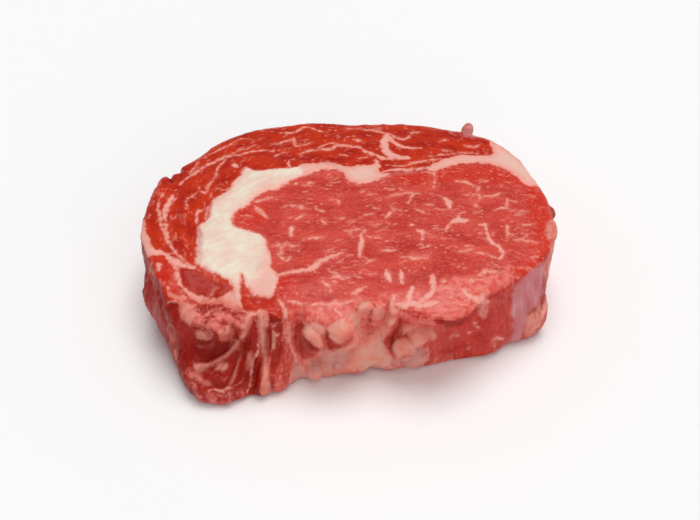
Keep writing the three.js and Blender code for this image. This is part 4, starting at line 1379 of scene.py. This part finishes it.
    # Moist, a little duller on fat.
    damp = g.noise(place, 0.9, 3)
    wet = g.ramp(damp, 0.3, 0.7, 0.26, 0.42)
    dull = g.sum("MULTIPLY_ADD", fat_in, 0.1, g.sum("MULTIPLY_ADD", wall, 0.12, wet))
    g.put(dull, g.surface.inputs["Roughness"])
    for name, value in (
        ("Subsurface Weight", 0.25),
        ("Subsurface Radius", (1.0, 0.35, 0.22)),
        ("Subsurface Scale", 1.6 / METRE),
        ("Specular IOR Level", 0.1),
        ("Coat Weight", 0.1),
        ("Coat Roughness", 0.12),
    ):
        g.surface.inputs[name].default_value = value

    # Fine grain in the light.
    fine = g.noise(place, 3.2, 3, 0.6)
    height = g.sum("MULTIPLY_ADD", thread, 0.6, g.sum("MULTIPLY", fine, 0.5))
    bump = g.node("ShaderNodeBump")
    bump.inputs["Strength"].default_value = 0.6
    bump.inputs["Distance"].default_value = 0.2 / METRE
    g.put(height, bump.inputs["Height"])
    g.put(bump.outputs["Normal"], g.surface.inputs["Normal"])
    return material


# ---------------------------------------------------------------- stage


def aim(thing, at):
    thing.rotation_euler = (at - thing.location).to_track_quat("-Z", "Y").to_euler()


def add_camera():
    data = bpy.data.cameras.new("camera")
    data.lens, data.sensor_width = LENS, SENSOR
    camera = add("camera", data)
    camera.location = (LOOK_AT + camera_axes()[2] * CAMERA_DISTANCE) / METRE
    aim(camera, LOOK_AT / METRE)
    bpy.context.scene.camera = camera


def add_sun(name, azimuth, elevation, softness, strength):
    """A far-off soft light. Angles are in degrees, and azimuth 0 stands behind the steak."""
    data = bpy.data.lights.new(name, "SUN")
    data.energy, data.angle = strength, math.radians(softness)
    light = add(name, data)
    turn, lift = math.radians(azimuth), math.radians(elevation)
    light.location = (math.cos(lift) * math.sin(turn), math.cos(lift) * math.cos(turn), math.sin(lift))
    aim(light, Vector((0, 0, 0)))


def add_stage():
    """A plain pale floor, a pale world and three soft suns."""
    mesh = bpy.data.meshes.new("floor")
    reach = 3000 / METRE
    corners = [(-reach, -reach, 0), (reach, -reach, 0), (reach, reach, 0), (-reach, reach, 0)]
    mesh.from_pydata(corners, [], [(0, 1, 2, 3)])
    floor = add("floor", mesh)
    floor.location.z = -0.1 / METRE
    material = bpy.data.materials.new("pale_floor")
    graph = Graph(material)
    graph.surface.inputs["Base Color"].default_value = (0.95, 0.95, 0.95, 1)
    graph.surface.inputs["Roughness"].default_value = 0.8
    mesh.materials.append(material)

    world = bpy.data.worlds.new("studio")
    world.use_nodes = True
    sky = world.node_tree.nodes["Background"]
    sky.inputs["Color"].default_value = (1, 1, 1, 1)
    sky.inputs["Strength"].default_value = 0.3
    bpy.context.scene.world = world
    add_sun("key", 25, 76, 36, 1.75)
    add_sun("fill", 158, 35, 60, 0.6)
    add_sun("glint", 170, 70, 7, 0.2)
    bpy.context.scene.view_settings.view_transform = "Standard"


# ---------------------------------------------------------------- the scene

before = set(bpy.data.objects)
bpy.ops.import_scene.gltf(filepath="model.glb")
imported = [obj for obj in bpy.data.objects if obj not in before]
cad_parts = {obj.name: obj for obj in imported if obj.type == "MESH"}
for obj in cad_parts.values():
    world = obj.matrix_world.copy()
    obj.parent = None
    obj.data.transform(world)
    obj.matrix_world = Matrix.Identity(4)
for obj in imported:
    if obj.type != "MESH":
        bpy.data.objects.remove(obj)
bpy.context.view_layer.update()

steak = build_steak(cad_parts["steak"])
steak.data.materials.append(meat_material())
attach(steak, "root")
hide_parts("steak")

add_stage()
add_camera()
